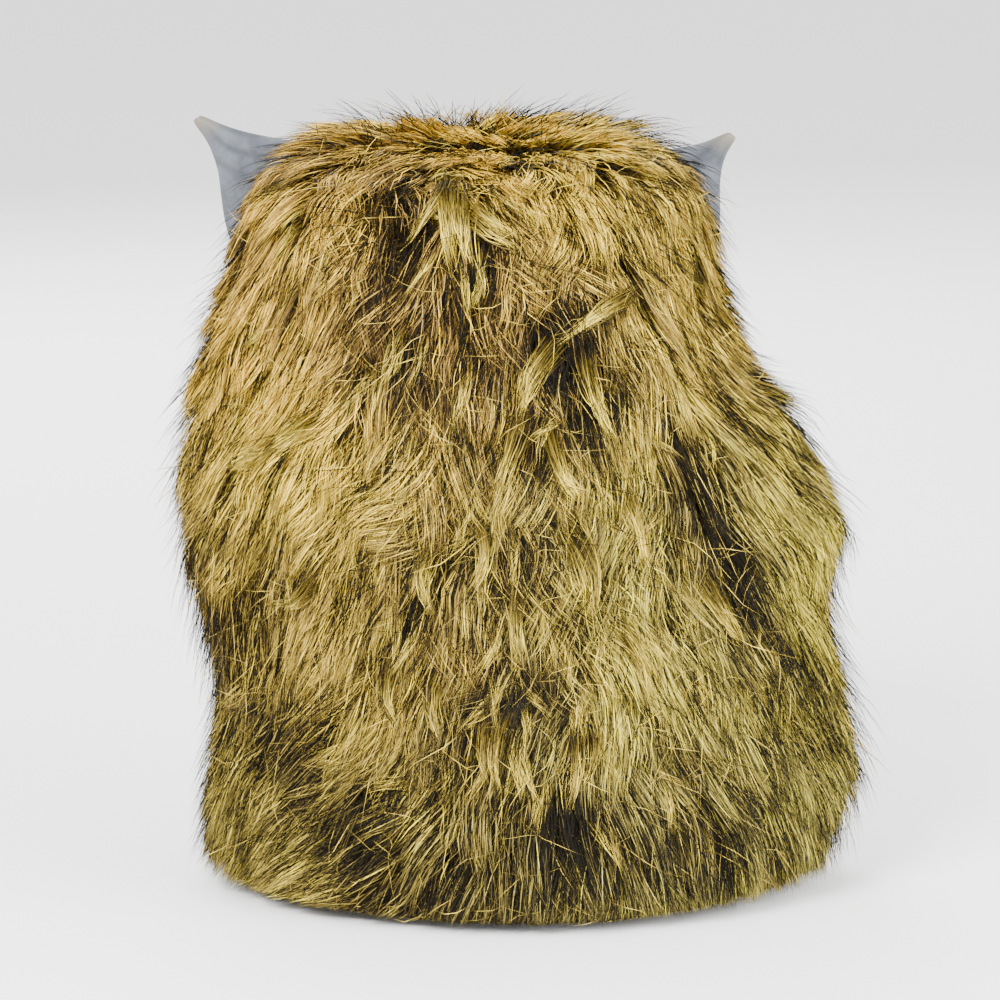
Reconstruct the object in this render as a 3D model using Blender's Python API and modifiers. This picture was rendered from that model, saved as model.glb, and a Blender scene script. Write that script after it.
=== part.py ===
"""Werewolf mask: a hollow cast latex head, two cast ears and a long-pile fur hood.

Metres, +Z up. The mask stands on the flat rim of its neck and its face looks along -Y. The origin is on the
floor, under the middle of the whole mask's box. Left and right are the wearer's, so left is +X.
"""

import math
from collections import namedtuple

import bmesh
import bpy
from mathutils import Matrix, Vector

# The latex head
HEAD_HEIGHT = 0.352
HEAD_WIDTH = 0.200
HEAD_DEPTH = 0.214
HEAD_LEAN = 0.028  # the crown leans this far to the wearer's left
LATEX_WALL = 0.0022
DOME_START = 0.78  # share of the height where the crown's dome begins
DOME_SQUARENESS = 2.5  # 2 would make the dome round

HeadRow = namedtuple("HeadRow", "height half_width front back lean")
HEAD_ROWS = (  # shares of HEAD_HEIGHT, HEAD_WIDTH / 2, HEAD_DEPTH / 2, HEAD_DEPTH / 2 and HEAD_LEAN
    HeadRow(0.00, 1.24, 1.06, 1.12, 0.00),
    HeadRow(0.03, 1.24, 1.06, 1.12, 0.00),
    HeadRow(0.13, 1.15, 0.93, 1.04, 0.15),
    HeadRow(0.25, 1.00, 0.72, 0.92, 0.40),
    HeadRow(0.38, 0.96, 0.76, 0.95, 0.62),
    HeadRow(0.52, 1.00, 0.84, 1.01, 0.80),
    HeadRow(0.66, 1.00, 0.88, 1.06, 0.93),
    HeadRow(0.78, 0.96, 0.88, 1.04, 1.00),
)

# The mesh of the head: fine over the face, coarse under the fur. Heights are shares of HEAD_HEIGHT.
NECK_ROWS = 4
FACE_ROWS = 19
CROWN_ROWS = 4
FACE_FROM = 0.25
FACE_TO = 0.74
FACE_COLUMNS = 9
SIDE_COLUMNS = 8
FACE_HALF_ANGLE = math.radians(50)

# The muzzle, pushed out of the face
MUZZLE_REACH = 0.080
MUZZLE_FLAT = 0.010  # half the width of its front
MUZZLE_FLARE = 0.048  # how far its sides run out into the cheeks
MUZZLE_TAPER = 0.28

MuzzleRow = namedtuple("MuzzleRow", "height reach")
MUZZLE_ROWS = (  # shares of HEAD_HEIGHT and MUZZLE_REACH, down the middle of the face
    MuzzleRow(0.262, 0.00),
    MuzzleRow(0.300, 0.22),
    MuzzleRow(0.340, 0.64),
    MuzzleRow(0.382, 0.82),
    MuzzleRow(0.412, 0.70),
    MuzzleRow(0.442, 0.93),
    MuzzleRow(0.485, 1.00),
    MuzzleRow(0.520, 0.97),
    MuzzleRow(0.550, 0.72),
    MuzzleRow(0.595, 0.42),
    MuzzleRow(0.645, 0.16),
    MuzzleRow(0.700, 0.00),
)

# Smaller forms of the face, each a soft bump or dent
Bump = namedtuple("Bump", "name aside height half_width half_height push")
FACE_BUMPS = (  # aside and half_width are shares of HEAD_WIDTH, heights shares of HEAD_HEIGHT, push is in metres
    Bump("brow", 0.165, 0.715, 0.185, 0.050, 0.016),
    Bump("eye_socket", 0.190, 0.645, 0.130, 0.055, -0.014),
    Bump("cheekbone", 0.330, 0.555, 0.160, 0.080, 0.011),
    Bump("brow_furrow", 0.000, 0.725, 0.060, 0.070, -0.006),
    Bump("lip_corner", 0.175, 0.412, 0.090, 0.030, -0.008),
    Bump("nose", 0.000, 0.505, 0.085, 0.035, 0.007),
)
FACE_TOP = 0.80  # share of HEAD_HEIGHT above which nothing of the face stands out

# Eyes and nostrils, cut through the wall. Levels are shares of HEAD_HEIGHT, asides of HEAD_WIDTH.
EYE_WIDTH = 0.034
EYE_OPENING = 0.018
EYE_ASIDE = 0.190
EYE_LEVEL = 0.648
EYE_SLANT = math.radians(17)
EYE_CUT_DEPTH = 0.060
EYE_CUT_SIDES = 14
NOSTRIL_RADIUS = 0.0040
NOSTRIL_ASIDE = 0.042
NOSTRIL_LEVEL = 0.492
NOSTRIL_CUT_DEPTH = 0.022
NOSTRIL_CUT_SIDES = 8

# Canine teeth, cast with the lips
FANG_LENGTH = 0.021
FANG_RADIUS = 0.0050
FANG_ASIDE = 0.095
FANG_LEVEL = 0.442
FANG_SINK = 0.25  # share of its radius that the root is set back from the lip
FANG_POINT = 0.10  # share of its radius that is left at the tip
FANG_SIDES = 8

# The ears
EAR_LENGTH = 0.104
EAR_WIDTH = 0.074
EAR_WALL = 0.0032
EAR_CUP = 0.015  # how deep the ear's front is hollowed
EAR_CURL = 0.008  # how far the tip turns outwards
EAR_ROOT_LEVEL = 0.838  # share of HEAD_HEIGHT
EAR_ROOT_ASIDE = 0.365  # share of HEAD_WIDTH
EAR_ROOT_AHEAD = 0.060  # share of HEAD_DEPTH
EAR_GAP = 0.0004  # between the ear's root and the head
EAR_ROWS = 10
EAR_COLUMNS = 8

EarRow = namedtuple("EarRow", "along outer inner curl cup")
EAR_SHAPE = (  # along is a share of EAR_LENGTH, outer and inner of EAR_WIDTH, curl of EAR_CURL, cup of EAR_CUP
    EarRow(0.00, 0.44, 0.54, 0.00, 1.10),
    EarRow(0.30, 0.42, 0.58, 0.00, 1.10),
    EarRow(0.52, 0.31, 0.46, 0.02, 1.00),
    EarRow(0.70, 0.17, 0.23, 0.12, 0.70),
    EarRow(0.86, 0.075, 0.075, 0.45, 0.30),
    EarRow(1.00, 0.025, 0.025, 1.00, 0.05),
)
EarPose = namedtuple("EarPose", "name side tilt turn length")
EAR_POSES = (  # tilt leans the ear outwards, turn swings its hollow forwards and out, length is of EAR_LENGTH
    EarPose("ear_left", 1, math.radians(35), math.radians(14), 1.00),
    EarPose("ear_right", -1, math.radians(32), math.radians(18), 0.87),
)

# The fur hood: a body of pile on its backing, and the locks that stand out of it
FUR_GAP = 0.0006  # between the fur's backing and the latex
FUR_HEM = 0.0030  # the hem hangs this far above the floor
FUR_EDGE = 0.0024  # thickness of the pelt where it ends at the face
FUR_FADE = math.radians(36)  # the pile grows to its full depth over this turn from the face
FUR_SINK = 0.006  # the raw form starts inside the head, which is then cut away
FUR_TOP = 0.010  # share of the height from the crown's middle to the first ring
FUR_ROWS = 11
FUR_ROW_SPREAD = 1.5  # above 1 the rows are closer together on the crown
EAR_CLEARANCE = 0.0010  # between the ear and the fur round it

FaceEdge = namedtuple("FaceEdge", "height turn")
FACE_EDGE = (  # where the pelt ends: degrees from the middle of the face, at a share of HEAD_HEIGHT
    FaceEdge(0.00, 54.0),
    FaceEdge(0.18, 56.0),
    FaceEdge(0.34, 62.0),
    FaceEdge(0.52, 60.0),
    FaceEdge(0.66, 54.0),
    FaceEdge(0.77, 40.0),
    FaceEdge(0.84, 0.0),
    FaceEdge(0.92, -60.0),
    FaceEdge(1.00, -120.0),
)
FUR_TURNS = (0, 18, 34, 44, 52, 58, 64, 72, 84, 98, 114, 130, 147, 164, 180)  # degrees from the face

PileRow = namedtuple("PileRow", "height left back right")
PILE_DEPTH = 0.044
PILE_ROWS = (  # how deep the body of the pile is, as shares of PILE_DEPTH, at a share of HEAD_HEIGHT
    PileRow(0.00, 0.90, 0.70, 0.22),
    PileRow(0.07, 0.98, 0.82, 0.62),
    PileRow(0.15, 0.85, 0.95, 1.05),
    PileRow(0.27, 0.80, 1.10, 1.32),
    PileRow(0.42, 0.98, 1.10, 1.30),
    PileRow(0.57, 0.92, 1.05, 1.40),
    PileRow(0.66, 0.86, 1.00, 1.05),
    PileRow(0.73, 0.78, 0.95, 0.66),
    PileRow(0.84, 0.62, 0.85, 0.56),
    PileRow(0.95, 0.86, 0.85, 0.90),
    PileRow(1.00, 0.50, 0.50, 0.50),
)

# Each lock is a flat diamond in section, wide near its root and pointed at its tip
LockRing = namedtuple("LockRing", "along girth")
LOCK_RINGS = (LockRing(0.0, 0.70), LockRing(0.35, 1.00), LockRing(0.72, 0.66))
LOCK_LENGTH = 0.070
LOCK_WIDTH = 0.036
LOCK_THICKNESS = 0.014
LOCK_LIFT = 0.0155  # how far the tip stands out of the pile
LOCK_ROOT_SINK = 0.008
LOCK_SIDES = 4
LOCK_FAN = 0.50  # how strongly the locks spread from the back's middle to the sides
LOCK_UNEVEN = 0.28

LockRow = namedtuple("LockRow", "height count size first_turn")
LOCK_ROWS = (  # height is a share of HEAD_HEIGHT, size of the four sizes above, first_turn in degrees
    LockRow(0.995, 5, 0.72, 0.0),
    LockRow(0.960, 9, 0.82, 26.0),
    LockRow(0.850, 11, 0.88, 54.0),
    LockRow(0.730, 12, 0.95, 68.0),
    LockRow(0.610, 13, 1.00, 78.0),
    LockRow(0.490, 13, 1.02, 78.0),
    LockRow(0.370, 13, 1.00, 78.0),
    LockRow(0.255, 13, 0.92, 76.0),
    LockRow(0.150, 12, 0.72, 74.0),
)
STEP_DOWN = 0.06  # share of HEAD_HEIGHT over which a lock's way down the pile is measured

GREY_LATEX = (0.30, 0.32, 0.35, 1.0)
TAN_FUR = (0.42, 0.31, 0.13, 1.0)


def curve_at(rows, at, column, key="height"):
    """A smooth value of a column between the rows of a table, whose key column rises."""
    keys = [getattr(row, key) for row in rows]
    values = [getattr(row, column) for row in rows]
    at = min(max(at, keys[0]), keys[-1])
    i = max(k for k in range(len(keys) - 1) if keys[k] <= at)

    def slope(k):
        low, high = max(k - 1, 0), min(k + 1, len(keys) - 1)
        return (values[high] - values[low]) / (keys[high] - keys[low])

    step = keys[i + 1] - keys[i]
    t = (at - keys[i]) / step
    start = values[i] * (1 + 2 * t) * (1 - t) ** 2 + values[i + 1] * t * t * (3 - 2 * t)
    return start + step * t * (1 - t) * (slope(i) * (1 - t) - slope(i + 1) * t)


def ease(t):
    """0 to 1 with a soft start and end."""
    t = min(max(t, 0.0), 1.0)
    return t * t * (3 - 2 * t)


def face_push(aside, height):
    """How far the face stands out of the plain head, and how much of that is muzzle."""
    if not MUZZLE_ROWS[0].height < height < FACE_TOP:
        return 0.0, 0.0
    reach = max(curve_at(MUZZLE_ROWS, height, "reach"), 0.0) if height < MUZZLE_ROWS[-1].height else 0.0
    muzzle = reach * ease((MUZZLE_FLAT + MUZZLE_FLARE - abs(aside)) / MUZZLE_FLARE)
    push = MUZZLE_REACH * muzzle
    for bump in FACE_BUMPS:
        beside = abs(abs(aside) / HEAD_WIDTH - bump.aside) / bump.half_width
        above = abs(height - bump.height) / bump.half_height
        push += bump.push * ease(1 - beside) * ease(1 - above)
    return push, muzzle


def dome_at(height):
    """How far up the crown's dome a height is, from 0 to 1."""
    return max(height - DOME_START, 0.0) / (1 - DOME_START)


def head_middle(height):
    """Where the leaning head's middle is, beside the neck's."""
    return HEAD_LEAN * curve_at(HEAD_ROWS, min(height, DOME_START), "lean")


def head_point(height, turn):
    """A point of the head's outer face. height is a share, and turn runs from the middle of the face."""
    row_height = min(height, DOME_START)
    shrink = max(1 - dome_at(height) ** DOME_SQUARENESS, 0.0) ** (1 / DOME_SQUARENESS)
    half_width = HEAD_WIDTH / 2 * curve_at(HEAD_ROWS, row_height, "half_width") * shrink
    end = "front" if math.cos(turn) > 0 else "back"
    reach = HEAD_DEPTH / 2 * curve_at(HEAD_ROWS, row_height, end) * shrink
    aside = half_width * math.sin(turn)
    ahead = reach * math.cos(turn)
    if math.cos(turn) > 0:
        push, muzzle = face_push(aside, height)
        ahead += push
        aside *= 1 - MUZZLE_TAPER * muzzle
    return Vector((head_middle(height) + aside, -ahead, HEAD_HEIGHT * height))


def head_heights():
    """The heights of the head's rows, as shares: the rim, the neck, the face and the crown."""
    rim = HEAD_ROWS[1].height
    neck = [rim + (FACE_FROM - rim) * k / NECK_ROWS for k in range(NECK_ROWS)]
    face = [FACE_FROM + (FACE_TO - FACE_FROM) * k / FACE_ROWS for k in range(FACE_ROWS + 1)]
    crown = [math.sin(math.pi / 2 * k / CROWN_ROWS) for k in range(CROWN_ROWS)]
    return [0.0, *neck, *face, *(DOME_START + (1 - DOME_START) * share for share in crown)]


def head_turns():
    """The turns of the head's columns all the way round, closer together over the face."""
    half = [FACE_HALF_ANGLE * k / FACE_COLUMNS for k in range(FACE_COLUMNS)]
    side = math.pi - FACE_HALF_ANGLE
    half += [FACE_HALF_ANGLE + side * k / SIDE_COLUMNS for k in range(SIDE_COLUMNS + 1)]
    return half + [-turn for turn in reversed(half[1:-1])]


def new_object(name, builder, collection):
    """An object from a bmesh, with its faces turned outwards."""
    bmesh.ops.recalc_face_normals(builder, faces=builder.faces)
    mesh = bpy.data.meshes.new(name)
    builder.to_mesh(mesh)
    builder.free()
    made = bpy.data.objects.new(name, mesh)
    collection.objects.link(made)
    return made


def skin_rings(builder, rings, closed_rings=True):
    """Faces between rings of vertices that have the same count."""
    for low, high in zip(rings, rings[1:]):
        count = len(low)
        for k in range(count if closed_rings else count - 1):
            after = (k + 1) % count
            builder.faces.new((low[k], low[after], high[after], high[k]))


def cap_with_point(builder, ring, point):
    """Triangles from a ring of vertices to one point."""
    tip = builder.verts.new(point)
    for k, vertex in enumerate(ring):
        builder.faces.new((vertex, ring[(k + 1) % len(ring)], tip))


def head_form(name, collection, solid, grow=0.0):
    """The head's outer face. Where solid is set it is closed at the neck, and grow moves it outwards."""
    builder = bmesh.new()
    turns = head_turns()
    rings = [[builder.verts.new(head_point(height, turn)) for turn in turns] for height in head_heights()]
    skin_rings(builder, rings)
    cap_with_point(builder, rings[-1], head_point(1.0, 0.0))
    bmesh.ops.recalc_face_normals(builder, faces=builder.faces)
    if solid:
        builder.normal_update()
        for vertex in list(builder.verts):
            vertex.co += vertex.normal * grow
        for vertex in rings[0]:
            vertex.co.z = -FUR_HEM
        builder.faces.new(list(reversed(rings[0])))
    return new_object(name, builder, collection)


def apply_modifiers(target):
    """Bakes an object's modifiers into its mesh."""
    graph = bpy.context.evaluated_depsgraph_get()
    evaluated = bpy.data.meshes.new_from_object(target.evaluated_get(graph))
    target.modifiers.clear()
    target.data = evaluated


def boolean(target, operation, other):
    """Cuts or joins one object or a whole collection, and bakes the result."""
    modifier = target.modifiers.new(operation.title(), "BOOLEAN")
    modifier.operation = operation
    modifier.solver = "EXACT"
    if isinstance(other, bpy.types.Collection):
        modifier.operand_type = "COLLECTION"
        modifier.collection = other
    else:
        modifier.object = other
    apply_modifiers(target)


def add_wall(target, thickness, offset):
    """Gives an open surface a wall: offset -1 keeps its outer face in place, and 0 its middle."""
    wall = target.modifiers.new("Wall", "SOLIDIFY")
    wall.thickness = thickness
    wall.offset = offset
    apply_modifiers(target)


def as_cutter(made):
    """Marks a helper that isn't a piece of the mask."""
    made.hide_render = True
    made.display_type = "WIRE"
    return made


def oval_cutter(name, collection, sides, place, half_width, half_height, depth, slant=0.0):
    """An oval prism along Y, to cut a hole in the face."""
    builder = bmesh.new()
    bmesh.ops.create_cone(
        builder,
        cap_ends=True,
        segments=sides,
        radius1=1.0,
        radius2=1.0,
        depth=1.0,
        matrix=Matrix.Rotation(math.pi / 2, 4, "X"),
    )
    shape = Matrix.Diagonal((half_width, depth, half_height, 1.0))
    bmesh.ops.transform(
        builder,
        matrix=Matrix.Translation(place) @ Matrix.Rotation(slant, 4, "Y") @ shape,
        verts=builder.verts,
    )
    return as_cutter(new_object(name, builder, collection))


def face_surface(side, aside, level):
    """The point of the face at a share of HEAD_WIDTH beside its middle and a share of HEAD_HEIGHT up."""
    low, high = 0.0, math.pi / 2
    found = head_point(level, 0.0)
    for _ in range(30):
        turn = (low + high) / 2
        found = head_point(level, side * turn)
        if abs(found.x - head_middle(level)) < aside * HEAD_WIDTH:
            low = turn
        else:
            high = turn
    return found


def fang(side, cutters):
    """One upper canine tooth, whose root is sunk in the lip."""
    root = face_surface(side, FANG_ASIDE, FANG_LEVEL)
    middle = root + Vector((0, FANG_RADIUS * FANG_SINK, -FANG_LENGTH / 2))
    builder = bmesh.new()
    bmesh.ops.create_cone(
        builder,
        cap_ends=True,
        segments=FANG_SIDES,
        radius1=FANG_RADIUS * FANG_POINT,
        radius2=FANG_RADIUS,
        depth=FANG_LENGTH,
        matrix=Matrix.Translation(middle),
    )
    return as_cutter(new_object(f"fang_form_{side}", builder, cutters))


def latex_mask(parts, cutters):
    """The cast head: an open form with a wall, its eyes and nostrils cut, and its fangs cast on."""
    mask = head_form("latex_mask", parts, solid=False)
    add_wall(mask, LATEX_WALL, offset=-1.0)
    for vertex in mask.data.vertices:
        if vertex.co.z < LATEX_WALL:
            vertex.co.z = 0.0
    for side in (-1, 1):
        eye = face_surface(side, EYE_ASIDE, EYE_LEVEL)
        boolean(mask, "DIFFERENCE", oval_cutter(
            f"eye_cutter_{side}", cutters, EYE_CUT_SIDES, eye,
            EYE_WIDTH / 2, EYE_OPENING / 2, EYE_CUT_DEPTH, -side * EYE_SLANT,
        ))
        nostril = face_surface(side, NOSTRIL_ASIDE, NOSTRIL_LEVEL)
        boolean(mask, "DIFFERENCE", oval_cutter(
            f"nostril_cutter_{side}", cutters, NOSTRIL_CUT_SIDES, nostril,
            NOSTRIL_RADIUS, NOSTRIL_RADIUS, NOSTRIL_CUT_DEPTH,
        ))
        boolean(mask, "UNION", fang(side, cutters))
    return mask


def ear_sheet(name, pose, collection, room=0.0):
    """One ear as a cupped, tapering sheet with a curled tip, given a wall. room makes it larger all round."""
    builder = bmesh.new()
    rows = []
    for i in range(EAR_ROWS + 1):
        along = i / EAR_ROWS
        outer, inner, curl, cup = (
            curve_at(EAR_SHAPE, along, column, "along") for column in ("outer", "inner", "curl", "cup")
        )
        row = []
        for k in range(EAR_COLUMNS + 1):
            across = 2 * k / EAR_COLUMNS - 1
            width = EAR_WIDTH * (outer if across > 0 else inner) + room
            row.append(builder.verts.new((
                EAR_CURL * curl + width * across,
                -EAR_CUP * cup * across * across,
                EAR_LENGTH * pose.length * along + room * along,
            )))
        rows.append(row)
    skin_rings(builder, rows, closed_rings=False)
    root = Vector((
        head_middle(EAR_ROOT_LEVEL) + EAR_ROOT_ASIDE * HEAD_WIDTH * pose.side,
        -EAR_ROOT_AHEAD * HEAD_DEPTH,
        EAR_ROOT_LEVEL * HEAD_HEIGHT,
    ))
    bmesh.ops.transform(
        builder,
        matrix=Matrix.Translation(root)
        @ Matrix.Diagonal((pose.side, 1, 1, 1))
        @ Matrix.Rotation(pose.turn, 4, "Z")
        @ Matrix.Rotation(pose.tilt, 4, "Y"),
        verts=builder.verts,
    )
    made = new_object(name, builder, collection)
    add_wall(made, EAR_WALL + 2 * room, offset=0.0)
    return made


def ears(parts, cutters):
    """Both ears, each cut to the curve of the head that it is glued to."""
    seat = as_cutter(head_form("ear_seat_form", cutters, solid=True, grow=EAR_GAP))
    made = []
    for pose in EAR_POSES:
        ear = ear_sheet(pose.name, pose, parts)
        boolean(ear, "DIFFERENCE", seat)
        made.append(ear)
    return made


def edge_turn(height):
    """The turn from the middle of the face at which the pelt begins, at a share of the head's height."""
    return math.radians(curve_at(FACE_EDGE, height, "turn"))


def pelt_end(turn):
    """The height, as a share, at which the pelt ends at a turn: the hem, or the edge of the face."""
    hem = FUR_HEM / HEAD_HEIGHT
    if abs(turn) >= edge_turn(hem):
        return hem
    low, high = hem, 1.0
    for _ in range(30):
        middle = (low + high) / 2
        if abs(turn) < edge_turn(middle):
            low = middle
        else:
            high = middle
    return high


def outward(height, turn):
    """The direction in which the pile stands: away from the head's middle, and up over the crown."""
    dome = dome_at(height)
    flat = Vector((math.sin(turn), -math.cos(turn), 0.0))
    return (flat * math.sqrt(max(1 - dome * dome, 0.0)) + Vector((0, 0, dome))).normalized()


def pile_point(height, turn):
    """A point of the outside of the pile's body."""
    side = curve_at(PILE_ROWS, height, "left" if math.sin(turn) > 0 else "right")
    back = curve_at(PILE_ROWS, height, "back")
    beside = math.sin(turn) ** 2
    full = PILE_DEPTH * (side * beside + back * (1 - beside))
    depth = FUR_EDGE + (full - FUR_EDGE) * ease((abs(turn) - edge_turn(height)) / FUR_FADE)
    return head_point(height, turn) + outward(height, turn) * depth


def fur_body(collection):
    """The pelt with its pile as one closed hood, before the head is cut out of it."""
    half = [math.radians(turn) for turn in FUR_TURNS]
    turns = half + [-turn for turn in reversed(half[1:-1])]
    builder = bmesh.new()
    outer = []
    inner = []
    for i in range(FUR_ROWS):
        down = (i / (FUR_ROWS - 1)) ** FUR_ROW_SPREAD
        outer_ring = []
        inner_ring = []
        for turn in turns:
            top = 1 - FUR_TOP
            height = top - (top - pelt_end(turn)) * down
            outer_ring.append(builder.verts.new(pile_point(height, turn)))
            inner_ring.append(builder.verts.new(head_point(height, turn) - outward(height, turn) * FUR_SINK))
        outer.append(outer_ring)
        inner.append(inner_ring)
    skin_rings(builder, outer)
    skin_rings(builder, inner)
    skin_rings(builder, [outer[-1], inner[-1]])
    cap_with_point(builder, outer[0], pile_point(1.0, math.pi))
    cap_with_point(builder, inner[0], head_point(1.0, 0.0) - Vector((0, 0, FUR_SINK)))
    return new_object("fur_hood", builder, collection)


def varied(seed):
    """A fixed number from -1 to 1 that looks random, for the unevenness of the locks."""
    return 2 * ((seed * 0.6180339887) % 1.0) - 1


def lock_form(name, collection, height, turn, size, seed):
    """One tapered lock, rooted in the pile and falling along it, with its tip standing clear."""
    length = LOCK_LENGTH * size * (1 + LOCK_UNEVEN / 2 * varied(seed * 5))
    width = LOCK_WIDTH * size * (1 + LOCK_UNEVEN / 2 * varied(seed * 7))
    lift = LOCK_LIFT * size * (1 + LOCK_UNEVEN * varied(seed * 11))
    root = pile_point(height, turn)
    down = (pile_point(max(height - STEP_DOWN, 0.0), turn) - root).normalized()
    side = (pile_point(height, turn + STEP_DOWN) - root).normalized()
    out = down.cross(side).normalized()
    if out.dot(outward(height, turn)) < 0:
        out.negate()
    swing = LOCK_FAN * math.sin(2 * turn) + LOCK_UNEVEN * varied(seed)
    fall = (down + side * swing).normalized()
    across = fall.cross(out).normalized()
    builder = bmesh.new()
    rings = []
    for ring in LOCK_RINGS:
        middle = root + fall * length * ring.along + out * (lift * ring.along - LOCK_ROOT_SINK * (1 - ring.along))
        spokes = [2 * math.pi * k / LOCK_SIDES for k in range(LOCK_SIDES)]
        rings.append([
            builder.verts.new(
                middle
                + across * math.cos(spoke) * width / 2 * ring.girth
                + out * math.sin(spoke) * LOCK_THICKNESS / 2 * ring.girth
            )
            for spoke in spokes
        ])
    skin_rings(builder, rings)
    builder.faces.new(rings[0])
    cap_with_point(builder, rings[-1], root + fall * length + out * lift)
    for vertex in builder.verts:
        vertex.co.z = max(vertex.co.z, FUR_HEM)
    return as_cutter(new_object(name, builder, collection))


def fur_locks(collection):
    """All the locks, row by row from the crown down."""
    seed = 0
    for row in LOCK_ROWS:
        start = math.radians(row.first_turn)
        span = 2 * math.pi - 2 * start
        gaps = row.count if start == 0 else row.count - 1
        for k in range(row.count):
            seed += 1
            turn = start + span * (k + LOCK_UNEVEN / 2 * varied(seed * 3)) / gaps
            turn = turn if turn <= math.pi else turn - 2 * math.pi
            lock_form(f"lock_{seed}", collection, row.height, turn, row.size, seed)


def drop_offcuts(target):
    """Removes what a cut left loose, such as the tip of a lock behind an ear, and keeps the main body."""
    builder = bmesh.new()
    builder.from_mesh(target.data)
    left = set(builder.verts)
    bodies = []
    while left:
        body = set()
        edge = {next(iter(left))}
        while edge:
            body |= edge
            edge = {link.other_vert(vertex) for vertex in edge for link in vertex.link_edges} - body
        bodies.append(body)
        left -= body
    bodies.sort(key=len)
    for body in bodies[:-1]:
        bmesh.ops.delete(builder, geom=list(body), context="VERTS")
    builder.to_mesh(target.data)
    builder.free()


def fur_hood(parts, cutters):
    """The fur: its body and locks joined, then the head and the ears cut out of it."""
    hood = fur_body(parts)
    locks = bpy.data.collections.new("locks")
    cutters.children.link(locks)
    fur_locks(locks)
    boolean(hood, "UNION", locks)
    boolean(hood, "DIFFERENCE", as_cutter(head_form("fur_seat_form", cutters, solid=True, grow=FUR_GAP)))
    for pose in EAR_POSES:
        room = ear_sheet(f"{pose.name}_room", pose, cutters, EAR_CLEARANCE)
        boolean(hood, "DIFFERENCE", as_cutter(room))
    drop_offcuts(hood)
    return hood


def centre_on_floor(parts):
    """Moves the whole mask so that the origin is on the floor under the middle of its box."""
    places = [vertex.co for part in parts.objects for vertex in part.data.vertices]
    low = Vector(min(place[axis] for place in places) for axis in range(3))
    high = Vector(max(place[axis] for place in places) for axis in range(3))
    middle = (low + high) / 2
    for part in parts.objects:
        part.data.transform(Matrix.Translation((-middle.x, -middle.y, -low.z)))


def material(name, colour, roughness):
    """A plain finish."""
    made = bpy.data.materials.new(name)
    made.use_nodes = True
    shader = made.node_tree.nodes["Principled BSDF"]
    shader.inputs["Base Color"].default_value = colour
    shader.inputs["Roughness"].default_value = roughness
    return made


def collection_named(name):
    """A new collection in the scene."""
    made = bpy.data.collections.new(name)
    bpy.context.scene.collection.children.link(made)
    return made


def main():
    for old in list(bpy.data.objects):
        bpy.data.objects.remove(old)
    parts = collection_named("werewolf_mask")
    cutters = collection_named("cutters")
    latex = material("grey_latex", GREY_LATEX, 0.55)
    fur = material("tan_fur", TAN_FUR, 0.85)
    latex_mask(parts, cutters).data.materials.append(latex)
    for ear in ears(parts, cutters):
        ear.data.materials.append(latex)
    fur_hood(parts, cutters).data.materials.append(fur)
    centre_on_floor(parts)


main()
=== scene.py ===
# %% [markdown]
# # A werewolf mask, seen from behind
#
# The mask is a hollow head of thin grey latex that is pulled over the wearer's own. Its crown, sides and
# back are covered with long fake fur, gold with black tips, and two latex ears stand out of it. The solid
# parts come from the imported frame. This script gives them their looks: a fine skin for the latex, a dark
# undercoat in place of the plain fur solid, and about a hundred thousand hairs that grow out of it.

# %% Load the frame
import math
from collections import namedtuple

import bmesh
import bpy
import numpy as np
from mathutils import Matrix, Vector
from mathutils.bvhtree import BVHTree
from mathutils.kdtree import KDTree


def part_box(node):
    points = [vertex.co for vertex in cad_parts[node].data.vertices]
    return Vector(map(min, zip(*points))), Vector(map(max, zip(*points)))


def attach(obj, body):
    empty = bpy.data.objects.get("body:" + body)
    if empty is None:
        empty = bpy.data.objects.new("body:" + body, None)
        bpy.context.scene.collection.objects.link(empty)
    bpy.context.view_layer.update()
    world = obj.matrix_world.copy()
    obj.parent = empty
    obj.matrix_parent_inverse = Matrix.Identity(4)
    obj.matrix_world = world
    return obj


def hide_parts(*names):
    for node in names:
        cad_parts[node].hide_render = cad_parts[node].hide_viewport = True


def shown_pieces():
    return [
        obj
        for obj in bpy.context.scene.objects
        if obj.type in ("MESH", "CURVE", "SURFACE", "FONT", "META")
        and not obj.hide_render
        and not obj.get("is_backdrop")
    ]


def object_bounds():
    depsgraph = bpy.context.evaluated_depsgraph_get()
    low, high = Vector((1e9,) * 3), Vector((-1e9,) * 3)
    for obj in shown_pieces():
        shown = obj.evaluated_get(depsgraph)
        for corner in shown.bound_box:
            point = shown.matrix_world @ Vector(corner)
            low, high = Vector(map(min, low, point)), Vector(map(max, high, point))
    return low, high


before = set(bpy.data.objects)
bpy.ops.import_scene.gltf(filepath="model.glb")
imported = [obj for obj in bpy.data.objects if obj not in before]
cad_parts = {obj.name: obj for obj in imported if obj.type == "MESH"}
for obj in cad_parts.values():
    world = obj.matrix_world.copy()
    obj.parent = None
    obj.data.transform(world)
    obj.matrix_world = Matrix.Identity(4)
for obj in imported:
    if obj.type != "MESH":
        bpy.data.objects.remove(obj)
cad_low, cad_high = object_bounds()
middle = (cad_low + cad_high) / 2
print("CAD box", [round(side, 3) for side in cad_high - cad_low])


def put_in_scene(name, data):
    """A new object that shows the given mesh, camera or lamp."""
    made = bpy.data.objects.new(name, data)
    bpy.context.scene.collection.objects.link(made)
    return made


# %% [markdown]
# ## Camera
#
# The photograph looks at the back of the mask from a little above. One pixel of its 1000 covers about half
# a millimetre, so the lens and the distance are chosen together to give that scale. A long lens keeps the
# fur's outline as flat as it looks there.

# %% Place the camera behind the mask
PIXEL = 0.000494  # metres of the object across one pixel
CAMERA_AWAY = 3.4
CAMERA_UP = math.radians(10)
AIM_ASIDE = 0.0114  # the mask stands a little to the right of the picture's middle
AIM_UP = -0.004

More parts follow.
